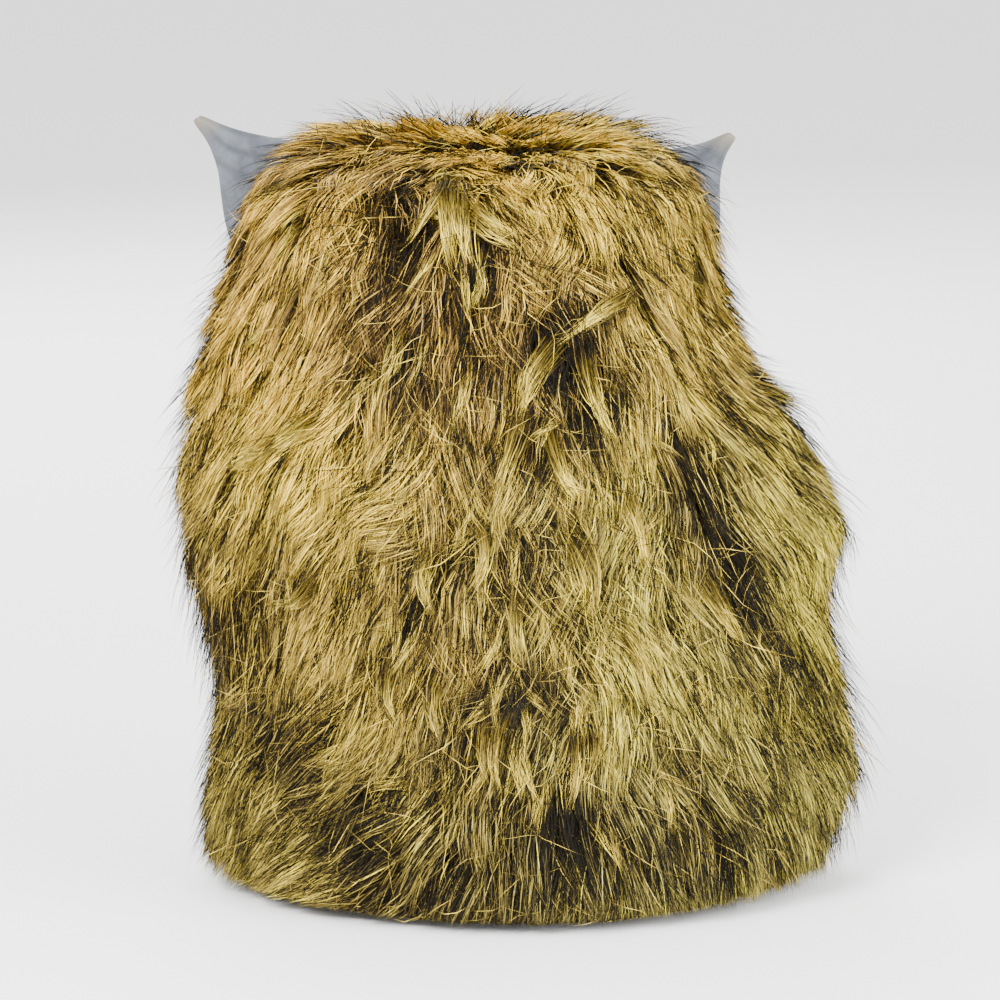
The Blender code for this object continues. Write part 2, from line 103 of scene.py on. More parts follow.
camera = put_in_scene("camera", bpy.data.cameras.new("camera"))
bpy.context.scene.camera = camera
camera.data.lens = camera.data.sensor_width * CAMERA_AWAY / (1000 * PIXEL)
aim = middle + Vector((AIM_ASIDE, 0, AIM_UP))
towards = Vector((0, -math.cos(CAMERA_UP), -math.sin(CAMERA_UP)))
camera.location = aim - towards * CAMERA_AWAY
camera.rotation_euler = towards.to_track_quat("-Z", "Y").to_euler()
print("lens", round(camera.data.lens, 1), "mm")

# %% [markdown]
# ## Helpers for shader nodes
#
# Every finish here is a Principled shader with a few nodes before it. A few small functions keep that
# readable: they start a finish, add a node and set its values, build a colour ramp from a short list of
# stops, and mix two colours.

# %% Shader helpers


def new_finish(name):
    """A material with a Principled shader, returned with its node tree and the shader."""
    finish = bpy.data.materials.new(name)
    finish.use_nodes = True
    tree = finish.node_tree
    return finish, tree, tree.nodes["Principled BSDF"]


def add_node(tree, kind, links=(), **settings):
    """Adds a node. links are (input, socket) pairs, settings are inputs by name or the node's options."""
    node = tree.nodes.new(kind)
    for name, value in settings.items():
        title = name.replace("_", " ").title()
        if title in node.inputs:
            node.inputs[title].default_value = value
        else:
            setattr(node, name, value)
    for socket_name, source in links:
        tree.links.new(source, node.inputs[socket_name])
    return node


def set_surface(tree, shader, colour, normal, roughness, specular):
    """Connects a finish's colour and bump, and sets how rough and how glossy it is."""
    tree.links.new(colour, shader.inputs["Base Color"])
    if normal is not None:
        tree.links.new(normal, shader.inputs["Normal"])
    shader.inputs["Roughness"].default_value = roughness
    shader.inputs["Specular IOR Level"].default_value = specular


def add_ramp(tree, source, stops):
    """A colour ramp from (place, colour) stops."""
    node = add_node(tree, "ShaderNodeValToRGB", [("Fac", source)])
    ramp = node.color_ramp
    while len(ramp.elements) < len(stops):
        ramp.elements.new(0.5)
    for element, (place, colour) in zip(ramp.elements, stops):
        element.position = place
        element.color = (*colour, 1) if len(colour) == 3 else colour
    return node.outputs["Color"]


def mix_colours(tree, factor, first, second, blend="MIX"):
    """Mixes two colours. Each may be a socket or a plain colour, and so may the factor."""
    node = add_node(tree, "ShaderNodeMix", data_type="RGBA", blend_type=blend)
    for index, value in ((0, factor), (6, first), (7, second)):
        if isinstance(value, bpy.types.NodeSocket):
            tree.links.new(value, node.inputs[index])
        elif index == 0:
            node.inputs[index].default_value = value
        else:
            node.inputs[index].default_value = (*value, 1)
    return node.outputs[2]


# %% [markdown]
# ## Copying a solid
#
# The frame's meshes are loose triangles. A copy has its doubles merged and its triangles joined back to
# quads, because a subdivision surface flows best over quads.

# %% Copy a solid as a clean mesh


def clean_copy(node, name):
    """A merged copy of a solid as a new object, with quads where two triangles lie flat enough."""
    builder = bmesh.new()
    builder.from_mesh(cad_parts[node].data)
    bmesh.ops.remove_doubles(builder, verts=builder.verts, dist=1e-5)
    bmesh.ops.join_triangles(
        builder,
        faces=builder.faces,
        cmp_seam=False,
        cmp_sharp=False,
        cmp_uvs=False,
        cmp_vcols=False,
        cmp_materials=False,
        angle_face_threshold=math.radians(35),
        angle_shape_threshold=math.radians(40),
    )
    mesh = bpy.data.meshes.new(name)
    builder.to_mesh(mesh)
    builder.free()
    return put_in_scene(name, mesh)


def apply_all(piece):
    """Bakes a piece's modifiers into its mesh."""
    graph = bpy.context.evaluated_depsgraph_get()
    piece.data = bpy.data.meshes.new_from_object(piece.evaluated_get(graph))
    piece.modifiers.clear()


def points_of(mesh):
    """A mesh's vertices as an array, one row each."""
    flat = np.empty(len(mesh.vertices) * 3)
    mesh.vertices.foreach_get("co", flat)
    return flat.reshape(-1, 3)


def normals_of(mesh):
    """A mesh's vertex normals as an array."""
    flat = np.empty(len(mesh.vertices) * 3)
    mesh.vertices.foreach_get("normal", flat)
    return flat.reshape(-1, 3)


def unit(vectors):
    """Vectors of length 1."""
    return vectors / np.maximum(np.linalg.norm(vectors, axis=-1, keepdims=True), 1e-9)


def write_attribute(mesh, name, values):
    """Stores one number for each vertex, for a material to read."""
    layer = mesh.attributes.new(name, "FLOAT", "POINT")
    layer.data.foreach_set("value", np.clip(values, 0, 1).astype(np.float32))


def round_off(piece, levels):
    """Subdivides a piece and bakes the result into its mesh."""
    rounder = piece.modifiers.new("Rounder", "SUBSURF")
    rounder.levels = levels
    rounder.render_levels = levels
    apply_all(piece)


def place_piece(piece, finish, slot, *nodes):
    """Gives a piece smooth shading, its finish and its body, and hides the solids that it stands for. slot is
    not used.
    """
    piece.data.materials.clear()
    piece.data.materials.append(finish)
    piece.data.shade_smooth()
    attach(piece, "root")
    if nodes:
        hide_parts(*nodes)
    print(piece.name, len(piece.data.vertices), "vertices")


# %% [markdown]
# ## The latex face
#
# The back view hides the face, so it stays a plain wolf's face: brows, eye holes, a muzzle with a nose, and
# two fangs. The solid has those forms already. Two levels of subdivision round them, and then a short table
# of creases is pressed in with a soft falloff, which is how a sculptor draws wrinkles with a loop tool.

# %% Refine the latex head
LATEX_LEVELS = 2

latex = clean_copy("latex_mask", "latex_head")
round_off(latex, LATEX_LEVELS)
print("latex head", len(latex.data.polygons), "faces")

# %% Find the middle line of the leaning head
head_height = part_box("latex_mask")[1].z
cast = points_of(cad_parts["latex_mask"].data)
skin = points_of(latex.data)
LEVELS = np.linspace(0.02, 0.92, 19)
slice_middles = []
for level in LEVELS:
    band = skin[np.abs(skin[:, 2] - level * head_height) < 0.024 * head_height]
    slice_middles.append((band[:, 0].min() + band[:, 0].max()) / 2)


def middle_line(heights):
    """How far to the side the head's middle is at each height."""
    return np.interp(heights / head_height, LEVELS, slice_middles)


print("middle line", np.round([slice_middles[0], slice_middles[-1]], 4))

# %% Press the creases in
HALF_WIDTH = 0.100
Crease = namedtuple("Crease", "name aside0 level0 aside1 level1 depth width")
CREASES = (  # asides are shares of HALF_WIDTH, levels of the head's height, depth and width in metres
    Crease("forehead_high", 0.00, 0.805, 0.46, 0.790, 0.0012, 0.0030),
    Crease("forehead_low", 0.00, 0.778, 0.44, 0.768, 0.0014, 0.0030),
    Crease("frown", 0.07, 0.750, 0.10, 0.690, 0.0022, 0.0028),
    Crease("under_eye", 0.16, 0.622, 0.56, 0.618, 0.0014, 0.0030),
    Crease("eye_bag", 0.20, 0.600, 0.52, 0.596, 0.0010, 0.0028),
    Crease("snarl_top", 0.04, 0.628, 0.20, 0.590, 0.0014, 0.0026),
    Crease("snarl_middle", 0.04, 0.602, 0.24, 0.560, 0.0016, 0.0026),
    Crease("snarl_low", 0.05, 0.576, 0.27, 0.530, 0.0016, 0.0026),
    Crease("cheek", 0.44, 0.560, 0.40, 0.440, 0.0020, 0.0040),
    Crease("lip_fold", 0.18, 0.478, 0.42, 0.432, 0.0012, 0.0028),
    Crease("chin", 0.00, 0.345, 0.26, 0.352, 0.0016, 0.0036),
    Crease("throat_high", 0.00, 0.245, 0.80, 0.262, 0.0020, 0.0050),
    Crease("throat_low", 0.00, 0.170, 0.85, 0.150, 0.0022, 0.0070),
)


def near_segment(aside, height, crease):
    """How close each point is to a crease, from 1 on it to 0 away from it."""
    start = np.array((crease.aside0 * HALF_WIDTH, crease.level0 * head_height))
    end = np.array((crease.aside1 * HALF_WIDTH, crease.level1 * head_height))
    run = end - start
    along = ((aside - start[0]) * run[0] + (height - start[1]) * run[1]) / run.dot(run)
    along = np.clip(along, 0, 1)
    away = np.hypot(aside - start[0] - along * run[0], height - start[1] - along * run[1])
    taper = 0.35 + 0.65 * np.sin(math.pi * np.clip(along, 0.05, 0.95))
    return np.exp(-((away / crease.width) ** 2)) * taper


skin_normals = normals_of(latex.data)
aside = np.abs(skin[:, 0] - middle_line(skin[:, 2]))
front = np.clip((0.01 - skin[:, 1]) / 0.03, 0, 1)
crease_shade = np.zeros(len(skin))
# the deepest crease at each point also darkens the paint there: painted shade in the creases
for crease in CREASES:
    near = near_segment(aside, skin[:, 2], crease) * front
    skin -= skin_normals * (near * crease.depth)[:, None]
    crease_shade = np.maximum(crease_shade, near)
latex.data.vertices.foreach_set("co", skin.ravel())
print("creases", len(CREASES))

# %% [markdown]
# The face's paint follows its forms. Each painted place is a number on the mesh: how deep a crease is, how
# near the nose, the eye rims and the mouth are, and which points belong to the teeth. The material turns
# those numbers into colour, so the paint stays on its forms from every side. The crease number darkens the
# grey: painted shade in the creases, which also stands for the airbrushing that such masks have.

# %% Mark the nose, the eyes, the mouth and the teeth
NOSE_REACH = 0.017
EYE_ASIDE = 0.038
EYE_LEVEL = 0.648
EYE_HALF_WIDTH = 0.017
EYE_HALF_HEIGHT = 0.009
EYE_SLANT = math.radians(17)
MOUTH_LEVEL = 0.412
MOUTH_HALF_HEIGHT = 0.0055
FANG_ASIDE = 0.019
FANG_TOP = 0.442
FANG_LENGTH = 0.021

nose_tip = skin[np.argmin(skin[:, 1])]
nose_away = np.linalg.norm((skin - nose_tip) * (1.0, 0.8, 1.25), axis=1)
nose = np.clip((NOSE_REACH - nose_away) / 0.003, 0, 1)

eye_side = aside - EYE_ASIDE
eye_up = skin[:, 2] - EYE_LEVEL * head_height
eye_along = eye_side * math.cos(EYE_SLANT) + eye_up * math.sin(EYE_SLANT)
eye_across = eye_up * math.cos(EYE_SLANT) - eye_side * math.sin(EYE_SLANT)
eye_away = np.hypot(eye_along / EYE_HALF_WIDTH, eye_across / EYE_HALF_HEIGHT)
eye_rim = np.clip((1.9 - eye_away) / 0.7, 0, 1) * front

mouth_up = np.abs(skin[:, 2] - MOUTH_LEVEL * head_height)
mouth = np.exp(-((mouth_up / MOUTH_HALF_HEIGHT) ** 2)) * np.clip((0.052 - aside) / 0.02, 0, 1) * front

fang_top = FANG_TOP * head_height
fang_tips = []
for side in (-1, 1):
    near_x = np.abs((cast[:, 0] - middle_line(cast[:, 2])) * side - FANG_ASIDE) < 0.003
    near_z = np.abs(cast[:, 2] - (fang_top - FANG_LENGTH)) < 0.001
    tip = cast[near_x & near_z & (cast[:, 1] < -0.10)]
    fang_tips.append(tip[np.argsort(tip[:, 1])[:8]].mean(axis=0))
tooth = np.zeros(len(skin))
for tip in fang_tips:
    away = np.hypot(skin[:, 0] - tip[0], skin[:, 1] - tip[1])
    inside = (skin[:, 2] < fang_top - 0.001) & (skin[:, 2] > tip[2] - 0.002)
    tooth = np.maximum(tooth, np.where(inside, np.clip((0.0058 - away) / 0.0008, 0, 1), 0))

HEM_HEIGHT = 0.024  # painted shadow on the neck's edge under the fur, near-black where it shows below the fur
hem = np.clip((HEM_HEIGHT - skin[:, 2]) / 0.006, 0, 1) * np.clip((skin[:, 1] + 0.02) / 0.04, 0, 1)
painted = {"crease": crease_shade, "nose": nose, "eye_rim": eye_rim, "mouth": mouth, "tooth": tooth, "hem": hem}
for name, values in painted.items():
    write_attribute(latex.data, name, values)
print("nose tip", np.round(nose_tip, 3), "teeth", int((tooth > 0.5).sum()), "points")

# %% [markdown]
# ## Painted latex
#
# Cast latex is slightly glossy and never quite even: the grey is mottled. Two noise textures on Object
# coordinates give the mottling and a fine grain for the bump, and a cell texture adds the pores. The painted
# places are laid over it one after another.

# %% Latex finishes
GREY_LIGHT = (0.175, 0.185, 0.205)
GREY_MIDDLE = (0.115, 0.125, 0.142)
# painted shade for the creases, and the dark paint of the eye rims
GREY_DARK = (0.036, 0.038, 0.044)
HEM_SHADOW = (0.006, 0.006, 0.006)
NOSE_BLACK = (0.012, 0.012, 0.013)
MOUTH_DARK = (0.045, 0.014, 0.012)
TOOTH_IVORY = (0.48, 0.41, 0.26)


def latex_base(tree, light, dark, scale):
    """Mottled grey and the bump of cast latex. Returns the colour and the normal."""
    place = add_node(tree, "ShaderNodeTexCoord").outputs["Object"]
    mottle = add_node(tree, "ShaderNodeTexNoise", [("Vector", place)], scale=scale, detail=5.0, roughness=0.6)
    grain = add_node(tree, "ShaderNodeTexNoise", [("Vector", place)], scale=900.0, detail=3.0)
    pores = add_node(tree, "ShaderNodeTexVoronoi", [("Vector", place)], scale=420.0)
    colour = add_ramp(tree, mottle.outputs["Fac"], ((0.32, dark), (0.68, light)))
    height = [("Height", pores.outputs["Distance"])]
    low = add_node(tree, "ShaderNodeBump", height, strength=0.16, distance=0.0006)
    bump = add_node(
        tree,
        "ShaderNodeBump",
        [("Height", grain.outputs["Fac"]), ("Normal", low.outputs["Normal"])],
        strength=0.2,
        distance=0.0004,
    )
    return colour, bump.outputs["Normal"]


def read_attribute(tree, name):
    """The number that the mesh stores under a name."""
    return add_node(tree, "ShaderNodeAttribute", attribute_name=name).outputs["Fac"]


face_finish, tree, shader = new_finish("painted_latex")
colour, normal = latex_base(tree, GREY_LIGHT, GREY_MIDDLE, 26.0)
for name, paint in (
    # painted shade in the creases
    ("crease", GREY_DARK),
    ("eye_rim", GREY_DARK),
    ("mouth", MOUTH_DARK),
    ("nose", NOSE_BLACK),
    ("tooth", TOOTH_IVORY),
    # painted shadow on the neck's edge, under the fur
    ("hem", HEM_SHADOW),
):
    colour = mix_colours(tree, read_attribute(tree, name), colour, paint)
set_surface(tree, shader, colour, normal, roughness=0.48, specular=0.4)
place_piece(latex, face_finish, "cast_latex", "latex_mask")

# %% [markdown]
# ## The ears
#
# An ear is one thin cupped casting with a fold down its back, a rolled rim and a tip that is brushed with
# tan paint. The solid gives its outline. Two levels of subdivision make it supple, and the fold and a few
# veins are drawn by moving points in and out along a coordinate that runs from the root to the tip. The fold
# is painted darker as painted shade, the veins as darker lines, and the rim lighter as a painted highlight.

# %% Refine the ears
EAR_LEVELS = 2
EAR_MOTTLE = 85.0
EAR_TIP = (0.120, 0.108, 0.082)
EAR_LIGHT = (0.108, 0.121, 0.144)
EAR_MIDDLE = (0.048, 0.055, 0.067)
# painted shade for the fold, also the darker lines of the veins
EAR_FOLD_SHADE_AND_VEINS = (0.022, 0.026, 0.034)
# painted highlight along the rim
EAR_RIM_HIGHLIGHT = (0.125, 0.140, 0.165)
FOLD_PLACE = 0.60  # shares of the ear's half width, from its middle outwards
FOLD_WIDTH = 0.15
FOLD_DEPTH = 0.0013
VEIN_HEIGHT = 0.0003
TIP_FROM = 0.86  # the paint on the tip starts here, as a share of the ear's length

ear_finish, tree, shader = new_finish("ear_latex")
colour, normal = latex_base(tree, EAR_LIGHT, EAR_MIDDLE, EAR_MOTTLE)
for name, paint in (("fold", EAR_FOLD_SHADE_AND_VEINS), ("rim", EAR_RIM_HIGHLIGHT), ("tip", EAR_TIP)):
    colour = mix_colours(tree, read_attribute(tree, name), colour, paint)
set_surface(tree, shader, colour, normal, roughness=0.5, specular=0.35)


def dress_ear(node, name, side):
    """A smooth copy of one ear, with its fold, veins, rim and painted tip."""
    ear = clean_copy(node, name)
    round_off(ear, EAR_LEVELS)
    points = points_of(ear.data)
    tip = points[np.argmax(points[:, 2] + side * points[:, 0])]
    low = points[points[:, 2] < points[:, 2].min() + 0.02].mean(axis=0)
    axis = (tip - low) / np.linalg.norm(tip - low)
    along = (points - low) @ axis / np.linalg.norm(tip - low)
    across = np.cross(axis, (0, 1, 0))
    beside = (points - low) @ across
    stops = np.linspace(0, 1, 13)
    widest = [np.abs(beside[np.abs(along - stop) < 0.06]).max() for stop in stops]
    share = beside / np.interp(along, stops, widest)
    outer = -side * share
    fold = np.exp(-(((outer - FOLD_PLACE) / FOLD_WIDTH) ** 2)) * np.clip(4.2 - 4 * along, 0, 1)
    veins = 0.5 + 0.5 * np.sin(share * 15 + 3 * np.sin(along * 9))
    push = -FOLD_DEPTH * fold + VEIN_HEIGHT * veins * np.clip(1 - along, 0, 1)
    points = points + normals_of(ear.data) * push[:, None]
    ear.data.vertices.foreach_set("co", points.ravel())
    # the fold darkens the paint as painted shade in it, and the veins as darker lines
    write_attribute(ear.data, "fold", np.maximum(fold, 0.45 * veins ** 3))
    # a lighter band along the edges: painted highlight on the rolled rim
    write_attribute(ear.data, "rim", np.clip((np.abs(share) - 0.80) / 0.15, 0, 1) * 0.75)
    write_attribute(ear.data, "tip", np.clip((along - TIP_FROM) / 0.12, 0, 1))
    place_piece(ear, ear_finish, "ear_latex", node)


dress_ear("ear_left", "left_ear", 1)
dress_ear("ear_right", "right_ear", -1)

# %% [markdown]
# ## The undercoat
#
# Fake fur is a knitted backing with a dense short undercoat, and longer hairs that stand out of it. The
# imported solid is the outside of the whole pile. A voxel remesh turns it into an even skin, smoothing takes
# the edges off its locks, and the skin is then drawn in towards the latex, so that the hairs have room to
# lie on it.

# %% Even out and soften the fur solid
VOXEL = 0.006
SMOOTH_ROUNDS = 30

undercoat = clean_copy("fur_hood", "undercoat")
remesh = undercoat.modifiers.new("Even", "REMESH")
remesh.mode = "VOXEL"
remesh.voxel_size = VOXEL
smoother = undercoat.modifiers.new("Soften", "SMOOTH")
smoother.factor = 0.5
smoother.iterations = SMOOTH_ROUNDS
apply_all(undercoat)
print("undercoat", len(undercoat.data.vertices), "vertices")


def surface_tree(piece):
    """A search tree over a mesh, for nearest points and rays."""
    builder = bmesh.new()
    builder.from_mesh(piece.data)
    tree = BVHTree.FromBMesh(builder)
    builder.free()
    return tree


# %% [markdown]
# ## The form that the hair must keep
#
# Loose hair would soon swell past the solid. So the outside of the whole fur is measured first, as if by
# rulers that all point at one centre inside the head. A table over every direction holds how far out the
# fur reaches there, and a little blur takes the edges off its locks. From the table a hair can tell how
# high it stands over the form and which way is outwards.

# %% Measure the outer form in every direction
CENTRE = np.array((0.008, 0.010, 0.175))
RULER_START = 0.45
AROUND = 150
UP_DOWN = 75
BLUR = (0.06, 0.24, 0.40, 0.24, 0.06)
FLOOR_LEVEL = 0.006

solid_tree = surface_tree(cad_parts["fur_hood"])
latex_tree = surface_tree(latex)
turns = np.linspace(0, 2 * math.pi, AROUND, endpoint=False)
tilts = np.linspace(-math.pi / 2, math.pi / 2, UP_DOWN)
reach = np.zeros((UP_DOWN, AROUND))
for row, tilt in enumerate(tilts):
    for column, turn in enumerate(turns):
        ray = Vector((math.cos(tilt) * math.cos(turn), math.cos(tilt) * math.sin(turn), math.sin(tilt)))
        start = Vector(CENTRE) + ray * RULER_START
        found = [tree.ray_cast(start, -ray)[3] or RULER_START for tree in (solid_tree, latex_tree)]
        reach[row, column] = RULER_START - min(found)
beside_hem = np.zeros(AROUND)
for row in range(UP_DOWN - 1, -1, -1):  # below the hem the form goes straight down, as if the fur went on
    flat, drop = math.cos(tilts[row]), math.sin(tilts[row])
    ended = CENTRE[2] + reach[row] * drop < FLOOR_LEVEL
    ended |= (reach[row] * flat < 0.8 * beside_hem) & (drop < -0.4)
    reach[row] = np.where(ended, np.minimum(beside_hem / max(flat, 0.2), RULER_START), reach[row])
    beside_hem = reach[row] * flat
for _ in range(2):
    reach = sum(share * np.roll(reach, step - 2, axis=1) for step, share in enumerate(BLUR))
    padded_rows = np.pad(reach, ((2, 2), (0, 0)), mode="edge")
    reach = sum(share * padded_rows[step:step + UP_DOWN] for step, share in enumerate(BLUR))
reach = np.concatenate((reach, reach[:, :1]), axis=1)
print("the fur reaches", round(reach.min(), 3), "to", round(reach.max(), 3), "m from the centre")


def height_over_form(points):
    """How far each point stands outside the measured form, negative inside it."""
    away = points - CENTRE
    distance = np.linalg.norm(away, axis=-1)
    turn = np.mod(np.arctan2(away[..., 1], away[..., 0]), 2 * math.pi) / (2 * math.pi) * AROUND
    tilt = np.arcsin(np.clip(away[..., 2] / np.maximum(distance, 1e-6), -1, 1))
    tilt = (tilt / math.pi + 0.5) * (UP_DOWN - 1)
    column = np.minimum(turn.astype(int), AROUND - 1)
    row = np.clip(tilt.astype(int), 0, UP_DOWN - 2)
    right, up = turn - column, tilt - row
    low = reach[row, column] * (1 - right) + reach[row, column + 1] * right
    high = reach[row + 1, column] * (1 - right) + reach[row + 1, column + 1] * right
    return distance - low * (1 - up) - high * up


def form_normals(points):
    """Which way is outwards over the form, from how the height changes nearby."""
    steps = 0.004 * np.eye(3)
    change = [height_over_form(points + step) - height_over_form(points - step) for step in steps]
    return unit(np.stack(change, axis=-1))


# %% [markdown]
# The undercoat now sinks below that form wherever it reaches above it. It is pushed along the form's own
# outward direction and not along its own normals, because those would turn its thin locks inside out.

# %% Sink the undercoat
SUNK_SHARE = 0.45  # share of the pile's depth that is left for the hairs
SUNK_MOST = 0.013
HEM_BAND = 0.045  # the smoothing lifted the hem, so this band is stretched down again

skin_points = points_of(undercoat.data)
hem_now, hem_cad = skin_points[:, 2].min(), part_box("fur_hood")[0].z
low_band = skin_points[:, 2] < HEM_BAND
stretched = HEM_BAND - (HEM_BAND - skin_points[:, 2]) * (HEM_BAND - hem_cad) / (HEM_BAND - hem_now)
skin_points[:, 2] = np.where(low_band, stretched, skin_points[:, 2])
pile = np.array([latex_tree.find_nearest(Vector(point))[3] for point in skin_points])
sunk = np.minimum(pile * SUNK_SHARE, SUNK_MOST)
for _ in range(2):
    excess = np.maximum(height_over_form(skin_points) + sunk, 0)
    skin_points -= form_normals(skin_points) * excess[:, None]
undercoat.data.vertices.foreach_set("co", skin_points.ravel())
undercoat.data.update()
pile = np.array([latex_tree.find_nearest(Vector(point))[3] for point in skin_points])
print("pile up to", round(pile.max(), 3))

# %% [markdown]
# ## How the hair lies
#
# All of the fur runs away from a short parting at the front of the crown, and its weight turns it down the
# further it goes. The crown is combed back, and the photograph's left side and lower left corner sweep more
# strongly aside. So the lie of the fur is a sum of a few simple flows, and each hair takes the part of it
# that runs along the skin.

# %% The flow over the skin
PARTING = np.array(((0.028, -0.085, 0.366), (0.036, -0.048, 0.376)))  # its front and its back end
AWAY_DISTANCES = (0.0, 0.05, 0.12, 0.34)  # metres from the parting, and how strongly hair runs away from it
AWAY_SHARES = (0.30, 0.52, 0.62, 0.30)
DOWN_SHARE = 1.05
Flow = namedtuple("Flow", "name aside height radius push")
SWEEPS = (  # places on the back, in metres, where the fur is combed aside by a push towards +X and up or down
    Flow("left_side", 0.110, 0.240, 0.090, (0.40, 0.0, -0.35)),
    Flow("lower_left", 0.090, 0.050, 0.085, (1.15, 0.0, 0.15)),
    Flow("right_side", -0.120, 0.180, 0.090, (-0.35, 0.0, -0.30)),
    Flow("lower_right", -0.110, 0.050, 0.070, (-0.45, 0.0, -0.20)),
    Flow("upper_right", -0.080, 0.260, 0.070, (0.10, 0.0, -0.55)),
    Flow("crown_left", 0.078, 0.345, 0.055, (0.30, 0.6, -0.50)),
    Flow("crown_right", -0.060, 0.330, 0.060, (-0.30, 0.4, -0.50)),
    Flow("crown_middle", 0.000, 0.354, 0.045, (-0.28, 0.6, -0.45)),
)


def flow_at(points, normals):
    """The direction along the skin in which the fur lies at each point."""
    run = PARTING[1] - PARTING[0]
    share = np.clip((points - PARTING[0]) @ run / run.dot(run), 0, 1)
    away = points - PARTING[0] - share[:, None] * run
    distance = np.linalg.norm(away, axis=1, keepdims=True)
    away_share = np.interp(distance, AWAY_DISTANCES, AWAY_SHARES)
    lie = unit(away) * away_share + np.array((0, 0, -1.0)) * (DOWN_SHARE - away_share)
    for sweep in SWEEPS:
        near = np.hypot(points[:, 0] - sweep.aside, points[:, 2] - sweep.height) / sweep.radius
        strength = np.exp(-near ** 2) * np.clip((points[:, 1] + 0.05) / 0.05, 0, 1)
        lie += strength[:, None] * np.array(sweep.push)
    face_side = np.clip((-points[:, 1] - 0.01) / 0.06, 0, 1) * np.clip((0.33 - points[:, 2]) / 0.05, 0, 1)
    lie += face_side[:, None] * np.array((0, 0.9, 0))
    lie -= normals * (lie * normals).sum(axis=1, keepdims=True)
    return unit(lie)


# %% [markdown]
# Random numbers give a heap of equal hairs, but real fur has larger patterns too. A few waves in random
# directions, added up, make a soft field that rises and falls over a chosen length. One such field bends
# the locks, others change their length and their tone.

# %% A soft random field
random = np.random.default_rng(7)


def soft_field(points, wavelength, count=7):
    """A smooth number from about -1 to 1 at each point, changing over a wavelength in metres."""
    total = np.zeros(len(points))
    for _ in range(count):
        direction = unit(random.normal(size=3))
        total += np.sin(points @ direction * 2 * math.pi / wavelength + random.uniform(0, 2 * math.pi))
    return total / math.sqrt(count / 2) / 1.6


# %% [markdown]
# ## Where the hairs grow
#
# Roots are scattered over the undercoat in proportion to the area of its faces. Only faces that look away
# from the latex grow hair. The length of each hair follows the depth of the pile below it, so the fur is
# short at the edge of the face and long on the back.

# %% Scatter the roots
HAIRS = 89_000
GUARD_HAIRS = 19_000
STRAY_HAIRS = 2_600
LEAST_PILE = 0.0015
BACK_DENSITY = 1.8  # the long pile of the back is denser than the rest

undercoat.data.calc_loop_triangles()
triangles = np.empty(len(undercoat.data.loop_triangles) * 3, dtype=np.int32)
undercoat.data.loop_triangles.foreach_get("vertices", triangles)
triangles = triangles.reshape(-1, 3)
skin_out = normals_of(undercoat.data)
corners = skin_points[triangles]
face_normal = np.cross(corners[:, 1] - corners[:, 0], corners[:, 2] - corners[:, 0])
face_area = np.linalg.norm(face_normal, axis=1) / 2
face_pile = pile[triangles].mean(axis=1)
face_middle = corners.mean(axis=1)
away_from_axis = face_middle - np.array((middle.x, 0.0, 0.20))
looks_out = (unit(face_normal) * unit(away_from_axis * (1, 1, 0.7))).sum(axis=1) > -0.25
grows = (face_pile > LEAST_PILE) & looks_out
weight = face_area * grows * np.where(face_middle[:, 1] > 0, BACK_DENSITY, 1)


def scatter(count):
    """Random points on the growing faces: their places, normals and depth of pile."""
    chosen = random.choice(len(triangles), size=count, p=weight / weight.sum())
    first = np.sqrt(random.uniform(size=count))
    second = random.uniform(size=count)
    shares = np.stack((1 - first, first * (1 - second), first * second), axis=1)
    place = (corners[chosen] * shares[:, :, None]).sum(axis=1)
    out = unit((skin_out[triangles[chosen]] * shares[:, :, None]).sum(axis=1))
    depth = (pile[triangles[chosen]] * shares).sum(axis=1)
    return place, out, depth


print("growing area", round(weight.sum(), 3), "square metres")

# %% [markdown]
# ## Locks
#
# Hairs cling together. Each lock has a leader, whose path the hairs near its root bend towards, more and
# more towards their tips. Leaders differ in direction, length, lift and wave, and that is what gives the
# fur its ragged, tousled look. The matted middle of the back gets stronger waves and looser directions.

# %% Chart the matted, the full and the trimmed places
Patch = namedtuple("Patch", "aside height radius amount")


def patches(*rows):
    """Soft round patches on the back, from rows of three places in millimetres and an amount."""
    return [Patch(aside / 1000, height / 1000, size / 1000, amount) for aside, height, size, amount in rows]


MATTED = patches(
    (10, 330, 45, 0.6), (10, 220, 60, 0.9), (-10, 150, 60, 0.6), (60, 340, 30, 0.8),
)


def patch_sum(points, table, front=0.02):
    """The sum of a table's patches at each point. front is how far before the middle they begin."""
    total = np.zeros(len(points))
    for patch in table:
        away = np.hypot(points[:, 0] - patch.aside, points[:, 2] - patch.height) / patch.radius
        total += patch.amount * np.exp(-away ** 2)
    return total * np.clip((points[:, 1] + front) / 0.06, 0, 1)


FULLER = patches(  # places on the back where the hair stands further out, amounts in metres
    (-150, 140, 70, 0.0060), (-165, 70, 50, 0.0050), (165, 60, 60, 0.0080), (160, 200, 70, 0.0035),
    (-100, 300, 60, 0.0030), (-150, 218, 45, 0.0105), (158, 262, 52, 0.0090), (138, 338, 30, -0.0150),
    (-88, 340, 30, -0.0150),
)
HAZE = patches(  # places where the black guard hairs stand furthest out
    (-60, 368, 50, 0.0080), (-163, 120, 80, 0.0080), (170, 100, 70, 0.0040),
)
TRIMMED = patches(  # places where the hair is shorter, to clear the ears, amounts are shares
    (122, 338, 34, -0.62), (-82, 340, 34, -0.62),
)
print("patches", [len(table) for table in (MATTED, FULLER, HAZE, TRIMMED)])

